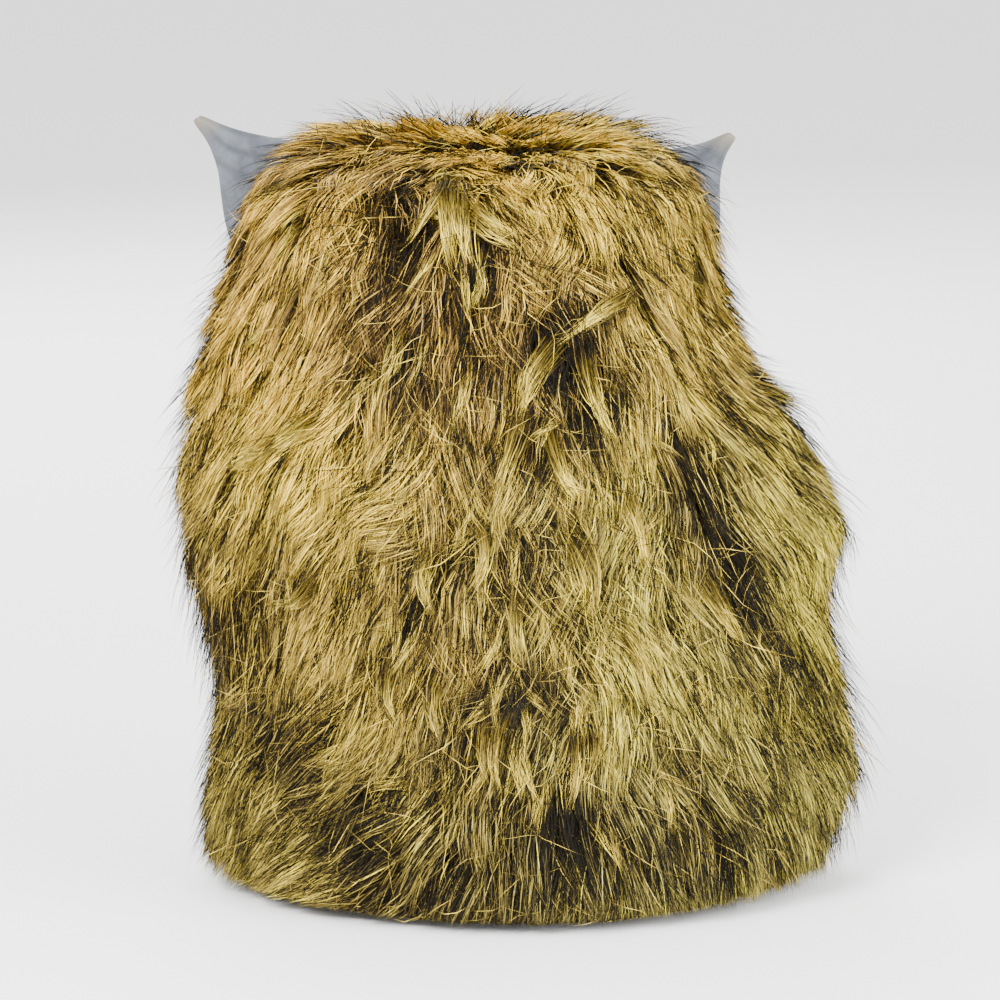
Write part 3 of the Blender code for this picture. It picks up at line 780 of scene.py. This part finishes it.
# %% Let a hair run along the form
HAIR_POINTS = 5
GUARD_POINTS = 5
START_SLANT = 0.8  # how much a hair points outwards where it starts
KEPT, TAKEN = 0.45, 0.55  # at each joint, how much of its heading is kept, and how much of the flow is taken
SINK_BEND = 1.6
PULL = 0.7  # how quickly a hair comes to its own height over the form
PILE_DEPTHS = (0.0, 0.006, 0.016, 0.030, 0.05)
HAIR_LENGTHS = (0.010, 0.020, 0.038, 0.054, 0.060)


def turned(lie, out, angle):
    """Directions turned about the skin's normals."""
    return unit(lie * np.cos(angle)[:, None] + np.cross(out, lie) * np.sin(angle)[:, None])


def paths(place, out, angle, length, rise, points):
    """The path of each hair. It leaves the skin at a slant and then runs along the form at its own height."""
    step = (length / (points - 1))[:, None]
    sunk = -height_over_form(place)
    spot = place
    heading = unit(turned(flow_at(place, out), out, angle) + START_SLANT * out)
    found = [place]
    for joint in range(1, points):
        share = joint / (points - 1)
        normal = form_normals(spot)
        lie = turned(flow_at(spot, normal), normal, angle)
        heading = unit(heading * KEPT + lie * TAKEN)
        spot = spot + heading * step
        wanted = rise * share - sunk * (1 - share) ** SINK_BEND
        spot = spot + normal * ((wanted - height_over_form(spot)) * PULL)[:, None]
        found.append(spot)
    path = np.stack(found, axis=1)
    path[:, 1:-1] = 0.5 * path[:, 1:-1] + 0.25 * (path[:, :-2] + path[:, 2:])
    return path


def hair_length(place, depth):
    """The length of a hair over a given depth of pile. Near the floor it is trimmed to the hem."""
    length = np.interp(depth, PILE_DEPTHS, HAIR_LENGTHS)
    return np.minimum(length, 0.012 + 1.1 * place[:, 2])


# %% Choose the leaders
LOCKS = 1500
LOOSENESS = 0.21  # how much locks turn off the flow, in radians
MATTED_LOOSENESS = 0.28
LOCK_HEIGHTS = (-0.003, 0.0085)

lock_place, lock_out, lock_depth = scatter(LOCKS)
matted = patch_sum(lock_place, MATTED)
lock_angle = random.normal(size=LOCKS) * (LOOSENESS + MATTED_LOOSENESS * matted)
lock_angle += 0.25 * soft_field(lock_place, 0.11)
lock_length = hair_length(lock_place, lock_depth) * random.uniform(0.85, 1.12, LOCKS)
lock_rise = random.uniform(*LOCK_HEIGHTS, LOCKS)
lock_wave = random.uniform(0, 2 * math.pi, LOCKS)
lock_tone = random.normal(size=LOCKS)
leaders = paths(lock_place, lock_out, lock_angle, lock_length, lock_rise, HAIR_POINTS)
lock_index = KDTree(LOCKS)
for number, place in enumerate(lock_place):
    lock_index.insert(Vector(place), number)
lock_index.balance()
print("locks", LOCKS)

# %% [markdown]
# ## Tones
#
# Each hair keeps one place on a strip of tones, from near-black brown through gold to pale blond. The tone
# comes from its lock, from soft fields that are wider than a lock, and from patches charted from the
# photograph: pale sweeps at the sides, which are in part painted highlight, and dark hollows in the middle,
# which are painted shade between the locks. In a dark place more hairs end black.

# %% Charted light and dark places
TONE_MIDDLE = 0.54
OWN_TONE = 0.18  # how much single hairs differ from their neighbours
LOCK_TONE = 0.06
DARK_SHIFT = 0.62  # a dark place is made of black tips more than of dark hairs
BLACK_TIPPED = 0.09  # share of the hairs that end black like the guard hairs
PALEST = 0.785
GUARD_TONES = (0.83, 0.98)
# rises are paler hair and in part painted highlight; falls are painted shade in the hollows between locks,
# shown by darker hair and black tips
TONE_AND_LIGHT_PATCHES = patches(
    (100, 270, 50, 0.20), (130, 205, 50, 0.12), (108, 235, 34, 0.44), (142, 261, 30, 0.14),
    (70, 215, 30, 0.04), (-60, 320, 45, 0.20), (-62, 235, 28, 0.16), (-68, 160, 28, 0.04),
    (-66, 95, 35, 0.08), (-140, 190, 35, 0.18), (-138, 150, 28, 0.40), (-128, 100, 40, 0.17),
    (-132, 146, 20, 0.22), (-35, 125, 30, 0.16), (30, 372, 50, 0.42), (0, 366, 34, 0.36),
    (-30, 370, 40, 0.14), (95, 330, 30, 0.06), (75, 125, 28, 0.14), (152, 90, 26, 0.20),
    (60, 300, 34, -0.30), (40, 268, 40, -0.24), (36, 332, 28, -0.12), (55, 351, 13, -0.70),
    (56, 331, 12, -0.60), (23, 322, 12, -0.75), (-31, 300, 22, -0.28), (-16, 283, 16, -0.85),
    (-34, 252, 12, -0.55), (70, 270, 12, -0.25), (40, 211, 14, -0.30), (4, 197, 18, -0.24),
    (11, 178, 15, -0.45), (53, 163, 13, -0.45), (66, 143, 14, -0.20), (-5, 235, 12, -0.30),
    (4, 127, 22, -0.62), (110, 88, 22, -0.55), (142, 144, 24, -0.26), (136, 118, 22, -0.12),
    (76, 51, 18, -0.50), (-18, 66, 16, -0.60), (-71, 234, 13, -0.34), (-78, 220, 13, -0.40),
    (-85, 206, 13, -0.42), (-91, 192, 13, -0.44), (-97, 178, 13, -0.44), (-103, 164, 13, -0.44),
    (-110, 151, 13, -0.44), (-116, 138, 13, -0.42), (-123, 124, 13, -0.36), (4, 332, 20, -0.32),
    (-31, 265, 20, -0.24), (39, 231, 18, 0.28), (-140, 240, 20, -0.25), (-45, 50, 34, -0.20),
    (-100, 55, 34, -0.28), (0, 10, 45, -0.26), (60, 14, 45, -0.22), (-70, 14, 45, -0.10),
    (6, 56, 34, -0.18), (4, 98, 18, 0.20), (39, 92, 20, -0.16), (95, 198, 28, -0.12),
)


def with_black_tips(tone, share):
    """The tones, with a share of them changed to a guard hair's, so that those hairs end black."""
    black_tipped = random.uniform(size=len(tone)) < share
    return np.where(black_tipped, random.uniform(*GUARD_TONES, len(tone)), tone)


def tone_of(place, lock):
    """The tone of each hair, from 0, dark, to PALEST, or a guard hair's. place is where its outer half is."""
    wide = 0.05 * soft_field(place, 0.12) + 0.05 * soft_field(place, 0.05)
    own = random.normal(size=len(place)) * OWN_TONE
    charted = patch_sum(place, TONE_AND_LIGHT_PATCHES, front=0.06)
    shift = np.where(charted < 0, DARK_SHIFT * charted, charted)
    tone = np.clip(TONE_MIDDLE + wide + own + LOCK_TONE * lock_tone[lock] + shift, 0.012, PALEST)
    return with_black_tips(tone, BLACK_TIPPED + np.maximum(-charted, 0))


# %% [markdown]
# ## From paths to ribbons
#
# A hair first gets a path, which bends towards its lock's leader and is cut where it would leave the form.
# Then it becomes a tapering ribbon with a few joints. All ribbons of a piece are one mesh, made as arrays in
# one go, because a hundred thousand objects would be far too slow. Each ribbon has a random roll about its
# path, so that some catch the light and others don't. Its UV map holds the tone across and the way from
# root to tip upwards, which is all that the material needs.

# %% Grow hairs from their roots
Habit = namedtuple("Habit", "spread longer cling")
COAT = Habit(spread=0.16, longer=1.0, cling=0.66)
GUARD = Habit(spread=0.36, longer=1.12, cling=0.20)  # guard hairs are longer and keep less to their locks
MOST_RISE = 0.020
MOST_OVER = 0.012  # hairs that leave the solids' box by more than this are shortened
TIP_SCATTER = 0.0009
HEM_LEVEL = 0.0045  # hairs end at least this high over the floor, and at random a little higher
LOWEST = 0.0008


def grow_hairs(place, out, depth, points, habit, stray=0.0):
    """The paths of hairs rooted at these places, and their locks. stray is how far off them they run."""
    count = len(place)
    lock = np.array([lock_index.find(Vector(spot))[1] for spot in place])
    messy = patch_sum(place, MATTED)
    spread = habit.spread * (1 + messy) + stray
    angle = lock_angle[lock] * 0.7 + random.normal(size=count) * spread
    length = hair_length(place, depth) * random.uniform(0.78, 1.10, count) * habit.longer
    length = length * (1 + patch_sum(place, TRIMMED))
    if habit is GUARD:
        rise = 0.003 + np.minimum(random.gamma(2.0, 0.0042, count), MOST_RISE)
        rise = rise + patch_sum(place, FULLER) + patch_sum(place, HAZE)
    else:
        rise = lock_rise[lock] + random.normal(size=count) * 0.0018 + patch_sum(place, FULLER)
    path = paths(place, out, angle, length, rise, points)
    along = np.linspace(0, 1, points)[None, :, None]
    leader = leaders[lock]
    if points != HAIR_POINTS:
        steps = np.linspace(0, HAIR_POINTS - 1, points)
        lower = np.minimum(steps.astype(int), HAIR_POINTS - 2)
        part = (steps - lower)[None, :, None]
        leader = leader[:, lower] * (1 - part) + leader[:, lower + 1] * part
    cling = habit.cling * along ** 1.3 * random.uniform(0.6, 1.15, count)[:, None, None]
    path = path + (leader - path) * np.clip(cling, 0, 0.92)
    sideways = unit(np.cross(out, path[:, -1] - path[:, 0]))[:, None]
    wave = np.sin(lock_wave[lock][:, None] + np.linspace(0, 4.6, points)[None])
    wave = wave * np.linspace(0, 1, points)[None]
    path = path + sideways * (wave * (0.0014 + 0.0036 * messy + 0.005 * stray)[:, None])[:, :, None]
    path = path + random.normal(size=(count, 1, 3)) * TIP_SCATTER * along ** 1.5
    lowest = path[:, :, 2].min(axis=1)
    ends = HEM_LEVEL + random.gamma(1.5, 0.002, count)
    share = np.clip((place[:, 2] - ends) / np.maximum(place[:, 2] - lowest, 1e-5), 0.05, 1)
    path = place[:, None] + (path - place[:, None]) * share[:, None, None]
    path[:, :, 2] = np.maximum(path[:, :, 2], LOWEST)
    over = np.maximum(path - np.array(cad_high), np.array(cad_low) - path).max(axis=(1, 2))
    shorter = np.clip(1 - (over - MOST_OVER) / 0.02, 0.3, 1)
    return place[:, None] + (path - place[:, None]) * shorter[:, None, None], lock


# %% Build ribbon meshes
ROLL = 0.75  # how much ribbons turn about their paths, in radians
TAPER = ((0, 0.25, 0.7, 1), (0.75, 1.0, 0.8, 0.0))  # places along a hair and its share of the width


def ribbon_mesh(name, path, out, tone, width, strands):
    """One mesh of tapering ribbons along the paths. strands is how much of the tone strip a ribbon spans."""
    count, points = path.shape[:2]
    run = unit(np.gradient(path, axis=1))
    roll = random.normal(size=(count, 1, 1)) * ROLL
    flat = unit(np.cross(run, out[:, None]))
    edge = unit(flat * np.cos(roll) + np.cross(run, flat) * np.sin(roll))
    taper = np.interp(np.linspace(0, 1, points), *TAPER)
    half = edge * (width[:, None] * taper[None])[:, :, None] / 2
    pairs = points - 1
    vertices = np.empty((count, 2 * pairs + 1, 3), dtype=np.float32)
    vertices[:, 0:2 * pairs:2] = path[:, :-1] - half[:, :-1]
    vertices[:, 1:2 * pairs:2] = path[:, :-1] + half[:, :-1]
    vertices[:, -1] = path[:, -1]
    quads = [(2 * k, 2 * k + 1, 2 * k + 3, 2 * k + 2) for k in range(pairs - 1)]
    end = (2 * pairs - 2, 2 * pairs - 1, 2 * pairs)
    loops = np.array([corner for quad in quads for corner in quad] + list(end), dtype=np.int32)
    sizes = np.array([4] * len(quads) + [3], dtype=np.int32)
    offset = (np.arange(count, dtype=np.int32) * (2 * pairs + 1))[:, None]
    all_loops = (offset + loops[None]).ravel()
    all_sizes = np.tile(sizes, count)
    starts = np.concatenate(([0], np.cumsum(all_sizes)[:-1])).astype(np.int32)
    mesh = bpy.data.meshes.new(name)
    mesh.vertices.add(count * (2 * pairs + 1))
    mesh.vertices.foreach_set("co", vertices.ravel())
    mesh.loops.add(len(all_loops))
    mesh.loops.foreach_set("vertex_index", all_loops)
    mesh.polygons.add(len(all_sizes))
    mesh.polygons.foreach_set("loop_start", starts)
    mesh.update(calc_edges=True)
    row = np.concatenate((np.repeat(np.arange(pairs), 2), [points - 1])) / (points - 1)
    side = np.concatenate((np.tile((-1.0, 1.0), pairs), [0.0]))
    u = tone[:, None] + strands / 2 * side[None]
    v = np.broadcast_to(0.01 + 0.98 * row[None], u.shape)
    uv = np.stack((u, v), axis=2).reshape(-1, 2)
    layer = mesh.uv_layers.new(name="OFBake")
    layer.data.foreach_set("uv", uv[all_loops].astype(np.float32).ravel())
    return put_in_scene(name, mesh)


# %% [markdown]
# ## The colour of a hair
#
# The material looks up the tone across the UV map and darkens it towards the root, where little light gets
# in. The last fifth of the strip belongs to the guard hairs. They are brown at the root and black in their
# upper half, and where they stand out of the outline against the light they look like a grey haze. The coat
# itself is six pieces that mix across their borders, so that each can have its own hue and none gets heavy.

# %% Fur finishes
STRANDS = 0.012  # the share of the strip that one ribbon spans
ONE_STRAND = 0.001  # the same for a single thin hair
STRANDS_ACROSS = 2.6  # how many streaks a ribbon shows
GUARDS_FROM = 0.805  # where the guard hairs' part of the strip begins
TIP_BLACK = (0.007, 0.006, 0.004)


def fur_finish(name, tint, gloss=0.05):
    """Hair that reads its tone and its way from root to tip from the UV map."""
    finish, tree, shader = new_finish(name)
    uv = add_node(tree, "ShaderNodeUVMap", uv_map="OFBake").outputs["UV"]
    parts = add_node(tree, "ShaderNodeSeparateXYZ", [("Vector", uv)])
    tone_colour = add_ramp(tree, parts.outputs["X"], (
        (0.00, (0.006, 0.004, 0.001)),
        (0.20, (0.041, 0.026, 0.007)),
        (0.38, (0.187, 0.129, 0.039)),
        (0.55, (0.465, 0.324, 0.076)),
        (0.78, (1.000, 0.745, 0.092)),
        (0.82, (0.100, 0.066, 0.016)),
        (1.00, (0.170, 0.115, 0.030)),
    ))
    root_shade = add_ramp(tree, parts.outputs["Y"], (
        (0.00, (0.04, 0.035, 0.03)),
        (0.30, (0.26, 0.24, 0.21)),
        (0.60, (1.0, 1.0, 1.0)),
        (1.00, (1.0, 0.98, 0.92)),
    ))
    colour = mix_colours(tree, 1.0, tone_colour, root_shade, "MULTIPLY")
    strands = add_node(tree, "ShaderNodeMapping", [("Vector", uv)])
    strands.inputs["Scale"].default_value = (STRANDS_ACROSS / STRANDS, 5.0, 1.0)
    place = [("Vector", strands.outputs["Vector"])]
    streaks = add_node(tree, "ShaderNodeTexNoise", place, scale=1.0, detail=1.0)
    streaks.noise_dimensions = "2D"
    # the streaks stand for separate fibres; their dark lows are painted shade between them and their peaks
    # above 1 painted glints
    streak_glint_and_shade = add_ramp(tree, streaks.outputs["Fac"], (
        (0.34, (0.16, 0.15, 0.13)),
        (0.54, (0.85, 0.85, 0.85)),
        (0.72, (1.35, 1.33, 1.25)),
    ))
    colour = mix_colours(tree, 1.0, colour, streak_glint_and_shade, "MULTIPLY")
    colour = mix_colours(tree, 1.0, colour, tint, "MULTIPLY")
    is_guard = add_node(tree, "ShaderNodeMath", operation="GREATER_THAN")
    tree.links.new(parts.outputs["X"], is_guard.inputs[0])
    is_guard.inputs[1].default_value = GUARDS_FROM
    guard_tip = add_ramp(tree, parts.outputs["Y"], ((0.30, (0, 0, 0)), (0.45, (1, 1, 1))))
    black = add_node(tree, "ShaderNodeMath", operation="MULTIPLY")
    tree.links.new(is_guard.outputs[0], black.inputs[0])
    tree.links.new(guard_tip, black.inputs[1])
    colour = mix_colours(tree, black.outputs[0], colour, TIP_BLACK)
    set_surface(tree, shader, colour, None, roughness=0.45, specular=gloss)
    return finish


under_finish, tree, shader = new_finish("undercoat")
place = add_node(tree, "ShaderNodeTexCoord").outputs["Object"]
stretch = add_node(tree, "ShaderNodeMapping", [("Vector", place)], scale=(420.0, 420.0, 60.0))
fibre = add_node(tree, "ShaderNodeTexNoise", [("Vector", stretch.outputs["Vector"])], scale=1.0, detail=4.0)
colour = add_ramp(tree, fibre.outputs["Fac"], ((0.35, (0.005, 0.004, 0.002)), (0.70, (0.050, 0.034, 0.010))))
bump = add_node(tree, "ShaderNodeBump", [("Height", fibre.outputs["Fac"])], strength=0.8, distance=0.002)
set_surface(tree, shader, colour, bump.outputs["Normal"], roughness=0.9, specular=0.1)
place_piece(undercoat, under_finish, "long_fur", "fur_hood")

# %% Grow the coat
HAIR_WIDTH = 0.00059
GUARD_WIDTH = 0.00042
CROWN_FROM, MIDDLE_FROM = 0.265, 0.125
BORDER_BLUR = 0.022  # the parts mix across their borders, so that no seam shows
Part = namedtuple("Part", "name tint")
PARTS = (  # from the top down, left and right, each a little different in hue
    Part("crown_left", (1.08, 0.96, 0.92)),
    Part("crown_right", (1.06, 1.03, 0.98)),
    Part("middle_left", (1.04, 1.02, 0.92)),
    Part("middle_right", (0.92, 1.04, 1.10)),
    Part("low_left", (1.00, 1.08, 1.04)),
    Part("low_right", (0.90, 1.06, 1.14)),
)

place, out, depth = scatter(HAIRS)
path, lock = grow_hairs(place, out, depth, HAIR_POINTS, COAT)
tone = tone_of((path[:, 2] + path[:, 3]) / 2, lock)
width = HAIR_WIDTH * random.uniform(0.6, 1.25, HAIRS)
height = place[:, 2] + random.normal(size=HAIRS) * BORDER_BLUR
right = place[:, 0] + random.normal(size=HAIRS) * BORDER_BLUR < middle.x
number = 2 * ((height < CROWN_FROM) * 1 + (height < MIDDLE_FROM) * 1) + right
for index, part in enumerate(PARTS):
    chosen = np.flatnonzero(number == index)
    piece = ribbon_mesh(part.name, path[chosen], out[chosen], tone[chosen], width[chosen], STRANDS)
    place_piece(piece, fur_finish(part.name, part.tint), "long_fur")
    print(part.name, len(chosen), "hairs")

# %% Grow the guard hairs
place, out, depth = scatter(GUARD_HAIRS)
path, _ = grow_hairs(place, out, depth, GUARD_POINTS, GUARD)
tone = random.uniform(*GUARD_TONES, GUARD_HAIRS)
guards = ribbon_mesh("guard_hairs", path, out, tone, GUARD_WIDTH * np.ones(GUARD_HAIRS), ONE_STRAND)
place_piece(guards, fur_finish("guard_hairs", (1, 1, 1), gloss=0.02), "long_fur")

# %% [markdown]
# Handling has matted some of the hair into narrow strings, which lie on top of the rest. The clearest ones
# are charted from the photograph by their start, their middle and their end, each as a few strings side by
# side. Loose strings fill the matted middle between them.

# %% Chart the matted tufts
Tuft = namedtuple("Tuft", "name x0 z0 x1 z1 x2 z2 width tone")
TUFTS = (  # places on the back and the width are in millimetres
    Tuft("crown_mat_a", 36, 364, 35, 343, 33, 309, 4, 0.64),
    Tuft("crown_mat_b", 38, 362, 45, 350, 60, 329, 3, 0.60),
    Tuft("crown_mat_c", 31, 358, 29, 338, 25, 316, 3, 0.66),
    Tuft("crown_right", 27, 354, 15, 342, -1, 329, 4, 0.68),
    Tuft("pale_sweep", -58, 303, -38, 296, -12, 278, 10, 0.66),
    Tuft("under_sweep", -18, 289, -3, 270, 4, 247, 5, 0.70),
    Tuft("sweep_right", -27, 284, -34, 257, -49, 232, 4, 0.68),
    Tuft("middle_a", 1, 258, 9, 232, 16, 209, 5, 0.70),
    Tuft("middle_b", -11, 248, -19, 224, -33, 208, 4, 0.72),
    Tuft("middle_c", 26, 209, 20, 187, 29, 164, 4, 0.66),
    Tuft("middle_d", 41, 199, 49, 178, 44, 153, 4, 0.68),
    Tuft("middle_e", -18, 210, -33, 179, -30, 149, 5, 0.70),
    Tuft("middle_f", -39, 224, -51, 198, -59, 170, 5, 0.72),
    Tuft("middle_g", 0, 180, 4, 154, -1, 128, 4, 0.68),
    Tuft("low_a", 60, 138, 64, 116, 56, 94, 5, 0.62),
    Tuft("low_b", -44, 159, -58, 133, -64, 106, 6, 0.74),
    Tuft("left_a", 94, 176, 110, 159, 128, 147, 5, 0.64),
    Tuft("low_c", 35, 139, 41, 113, 34, 87, 5, 0.64),
    Tuft("right_a", -82, 177, -97, 151, -108, 123, 5, 0.68),
    Tuft("low_d", -24, 109, -27, 83, -21, 57, 6, 0.70),
    Tuft("low_e", 10, 114, 16, 89, 11, 62, 5, 0.60),
    Tuft("left_b", 110, 238, 129, 225, 150, 213, 6, 0.74),
    Tuft("left_c", 90, 254, 112, 241, 129, 223, 6, 0.76),
)
STRINGY = patches(  # places where loose strings lie between the charted tufts
    (0, 215, 70, 1.0), (10, 130, 75, 0.9), (-55, 160, 55, 0.6), (35, 330, 50, 0.7),
    (50, 70, 60, 0.5),
)
TUFT_STRINGS = 3
LOOSE_STRINGS = 210
STRING_HAIRS = 26
STRING_POINTS = 7
STRING_WIDTH = 0.00040
STRING_RADIUS = 0.0019
STRING_SUNK = 0.009
STRING_ARCH = 0.0150
STRING_LOOSENESS = 0.38  # how much loose strings turn off the flow, in radians
STRINGS_FROM = 0.07  # no loose string is rooted lower, so none reaches the floor
STEPS_IN = np.arange(0.22, -0.04, -0.0015)  # where a string is looked for, from behind the head forwards


def charted_strings(tuft):
    """Paths on the form that run side by side through the three places of a tuft."""
    along = np.linspace(0, 1, STRING_POINTS)[None, :]
    stops = np.array(((tuft.x0, tuft.z0), (tuft.x1, tuft.z1), (tuft.x2, tuft.z2))) / 1000
    share = along * random.uniform(0.85, 1.1, (TUFT_STRINGS, 1))
    bow = stops[1] - (stops[0] + stops[2]) / 2
    line = stops[0] + (stops[2] - stops[0]) * share[..., None] + 4 * bow * (share * (1 - share))[..., None]
    side = np.array((stops[0, 1] - stops[2, 1], stops[2, 0] - stops[0, 0]))
    side /= np.linalg.norm(side)
    offset = random.normal(size=(TUFT_STRINGS, 1)) * tuft.width / 1600 * (1.1 - 0.6 * along)
    offset = offset + 0.0012 * np.sin(share * 8 + random.uniform(0, 2 * math.pi, (TUFT_STRINGS, 1))) * along
    line = line + side * offset[..., None]
    rise = -STRING_SUNK + STRING_ARCH * np.sin((0.15 + 0.75 * along) * math.pi)
    trial = np.empty((TUFT_STRINGS, STRING_POINTS, len(STEPS_IN), 3))
    trial[..., 0], trial[..., 1], trial[..., 2] = line[..., 0, None], STEPS_IN, line[..., 1, None]
    above = height_over_form(trial.reshape(-1, 3)).reshape(trial.shape[:3]) - rise[..., None]
    met = np.where((above <= 0).any(axis=2), (above <= 0).argmax(axis=2), above.argmin(axis=2))
    return np.take_along_axis(trial, met[..., None, None], axis=2)[:, :, 0]


def string_hairs(leaders, out):
    """Hairs that cling to each leader, each along its own stretch of it."""
    count, points = leaders.shape[:2]
    along = np.linspace(0, 1, points)
    first = random.uniform(0.0, 0.3, (count, STRING_HAIRS, 1))
    last = random.uniform(0.7, 1.0, (count, STRING_HAIRS, 1))
    stretch = (first + (last - first) * along) * (points - 1)
    lower = np.minimum(stretch.astype(int), points - 2)
    part = (stretch - lower)[..., None]
    row = np.arange(count)[:, None, None]
    path = leaders[row, lower] * (1 - part) + leaders[row, lower + 1] * part
    side = unit(np.cross(out, leaders[:, -1] - leaders[:, 0]))
    reach = (STRING_RADIUS * (1.3 - along))[None, None, :, None]
    path = path + side[:, None, None] * random.normal(size=(count, STRING_HAIRS, 1, 1)) * reach
    path = path + out[:, None, None] * random.normal(size=(count, STRING_HAIRS, 1, 1)) * reach * 0.6
    curl = np.sin(7 * along + random.uniform(0, 2 * math.pi, (count, STRING_HAIRS, 1))) * along * 0.0014
    return (path + side[:, None, None] * curl[..., None]).reshape(-1, points, 3)


# %% Lay the strings
charted = np.concatenate([charted_strings(tuft) for tuft in TUFTS])
charted_out = form_normals(charted[:, STRING_POINTS // 2])
place, out, depth = scatter(LOOSE_STRINGS * 14)
stringy = random.uniform(size=len(place)) < patch_sum(place, STRINGY) * (place[:, 2] > STRINGS_FROM)
stringy = np.flatnonzero(stringy)[:LOOSE_STRINGS]
place, out, depth = place[stringy], out[stringy], depth[stringy]
angle = random.normal(size=len(place)) * STRING_LOOSENESS
length = hair_length(place, depth) * random.uniform(0.65, 1.0, len(place))
loose = paths(place, out, angle, length, random.uniform(0.003, 0.009, len(place)), STRING_POINTS)
across = unit(np.cross(out, loose[:, -1] - loose[:, 0]))[:, None]
wave = np.sin(np.linspace(0, 6.0, STRING_POINTS)[None] + random.uniform(0, 2 * math.pi, (len(place), 1)))
loose = loose + across * (0.0022 * wave * np.linspace(0, 1, STRING_POINTS)[None])[..., None]
string_path = string_hairs(np.concatenate((charted, loose)), np.concatenate((charted_out, out)))
string_tone = np.concatenate((
    np.repeat([tuft.tone for tuft in TUFTS], TUFT_STRINGS),
    0.62 + 0.08 * random.normal(size=len(place)),
))
string_tone = np.repeat(string_tone, STRING_HAIRS) + OWN_TONE * random.normal(size=len(string_path))
string_tone = with_black_tips(np.clip(string_tone, 0.05, PALEST), BLACK_TIPPED)
string_out = np.repeat(np.concatenate((charted_out, out)), STRING_HAIRS, axis=0)
strings = ribbon_mesh(
    "matted_tufts",
    string_path,
    string_out,
    string_tone,
    STRING_WIDTH * random.uniform(0.7, 1.3, len(string_path)),
    STRANDS,
)
place_piece(strings, fur_finish("matted_tufts", (1.02, 1.06, 1.0)), "long_fur")
print("strings", len(charted) + len(loose))

# %% [markdown]
# A few hairs always escape their locks. They are pale and very thin, and they cross the others in loose
# curves.

# %% Grow the strays
STRAY_WIDTH = 0.00022
STRAY_POINTS = 6
STRAY_TONES = (0.66, 0.78)
OFF_THEIR_LOCK = 0.8

place, out, depth = scatter(STRAY_HAIRS)
path, _ = grow_hairs(place, out, depth, STRAY_POINTS, GUARD, stray=OFF_THEIR_LOCK)
tone = random.uniform(*STRAY_TONES, STRAY_HAIRS)
strays = ribbon_mesh("stray_hairs", path, out, tone, STRAY_WIDTH * np.ones(STRAY_HAIRS), ONE_STRAND)
place_piece(strays, fur_finish("stray_hairs", (1, 1, 1.2)), "long_fur")

# %% [markdown]
# ## Floor and light
#
# The photograph is a cut-out on white with soft, even light. A pale floor that reaches far past the picture
# gives the same clean ground. One broad lamp stands high on the camera's side, a weaker one fills from the
# other hand, a third lights the face, and a bright plain world does the rest.

# %% Floor
FLOOR_RADIUS = 40.0
FLOOR_PALE = (0.93, 0.93, 0.93, 1)
floor_builder = bmesh.new()
bmesh.ops.create_circle(floor_builder, cap_ends=True, radius=FLOOR_RADIUS, segments=64)
floor_mesh = bpy.data.meshes.new("floor")
floor_builder.to_mesh(floor_mesh)
floor_builder.free()
floor = put_in_scene("floor", floor_mesh)
floor_finish, tree, shader = new_finish("pale_floor")
shader.inputs["Base Color"].default_value = FLOOR_PALE
shader.inputs["Roughness"].default_value = 0.9
floor.data.materials.append(floor_finish)
floor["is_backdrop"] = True

# %% Lamps and world
WORLD_STRENGTH = 1.85


def add_lamp(name, place, size, power):
    """A square soft lamp that looks at the mask."""
    lamp = put_in_scene(name, bpy.data.lights.new(name, "AREA"))
    lamp.data.size = size
    lamp.data.energy = power
    lamp.location = place
    lamp.rotation_euler = (middle - Vector(place)).to_track_quat("-Z", "Y").to_euler()


add_lamp("key", (0.9, 1.9, 1.7), 0.9, 170)
add_lamp("fill", (-1.4, 1.2, 0.8), 1.4, 85)
add_lamp("front", (0.5, -1.8, 1.3), 1.4, 60)
world = bpy.data.worlds.new("studio")
bpy.context.scene.world = world
world.use_nodes = True
world.node_tree.nodes["Background"].inputs["Color"].default_value = (1, 1, 1, 1)
world.node_tree.nodes["Background"].inputs["Strength"].default_value = WORLD_STRENGTH

# %% Measure and finish
new_low, new_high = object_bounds()
grown = [round(1000 * (a - b), 1) for a, b in zip((*cad_low, *new_high), (*new_low, *cad_high))]
print("grown by, in mm", grown)
triangle_total = sum(len(piece.data.loop_triangles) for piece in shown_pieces() if piece.type == "MESH")
print("triangles", triangle_total)
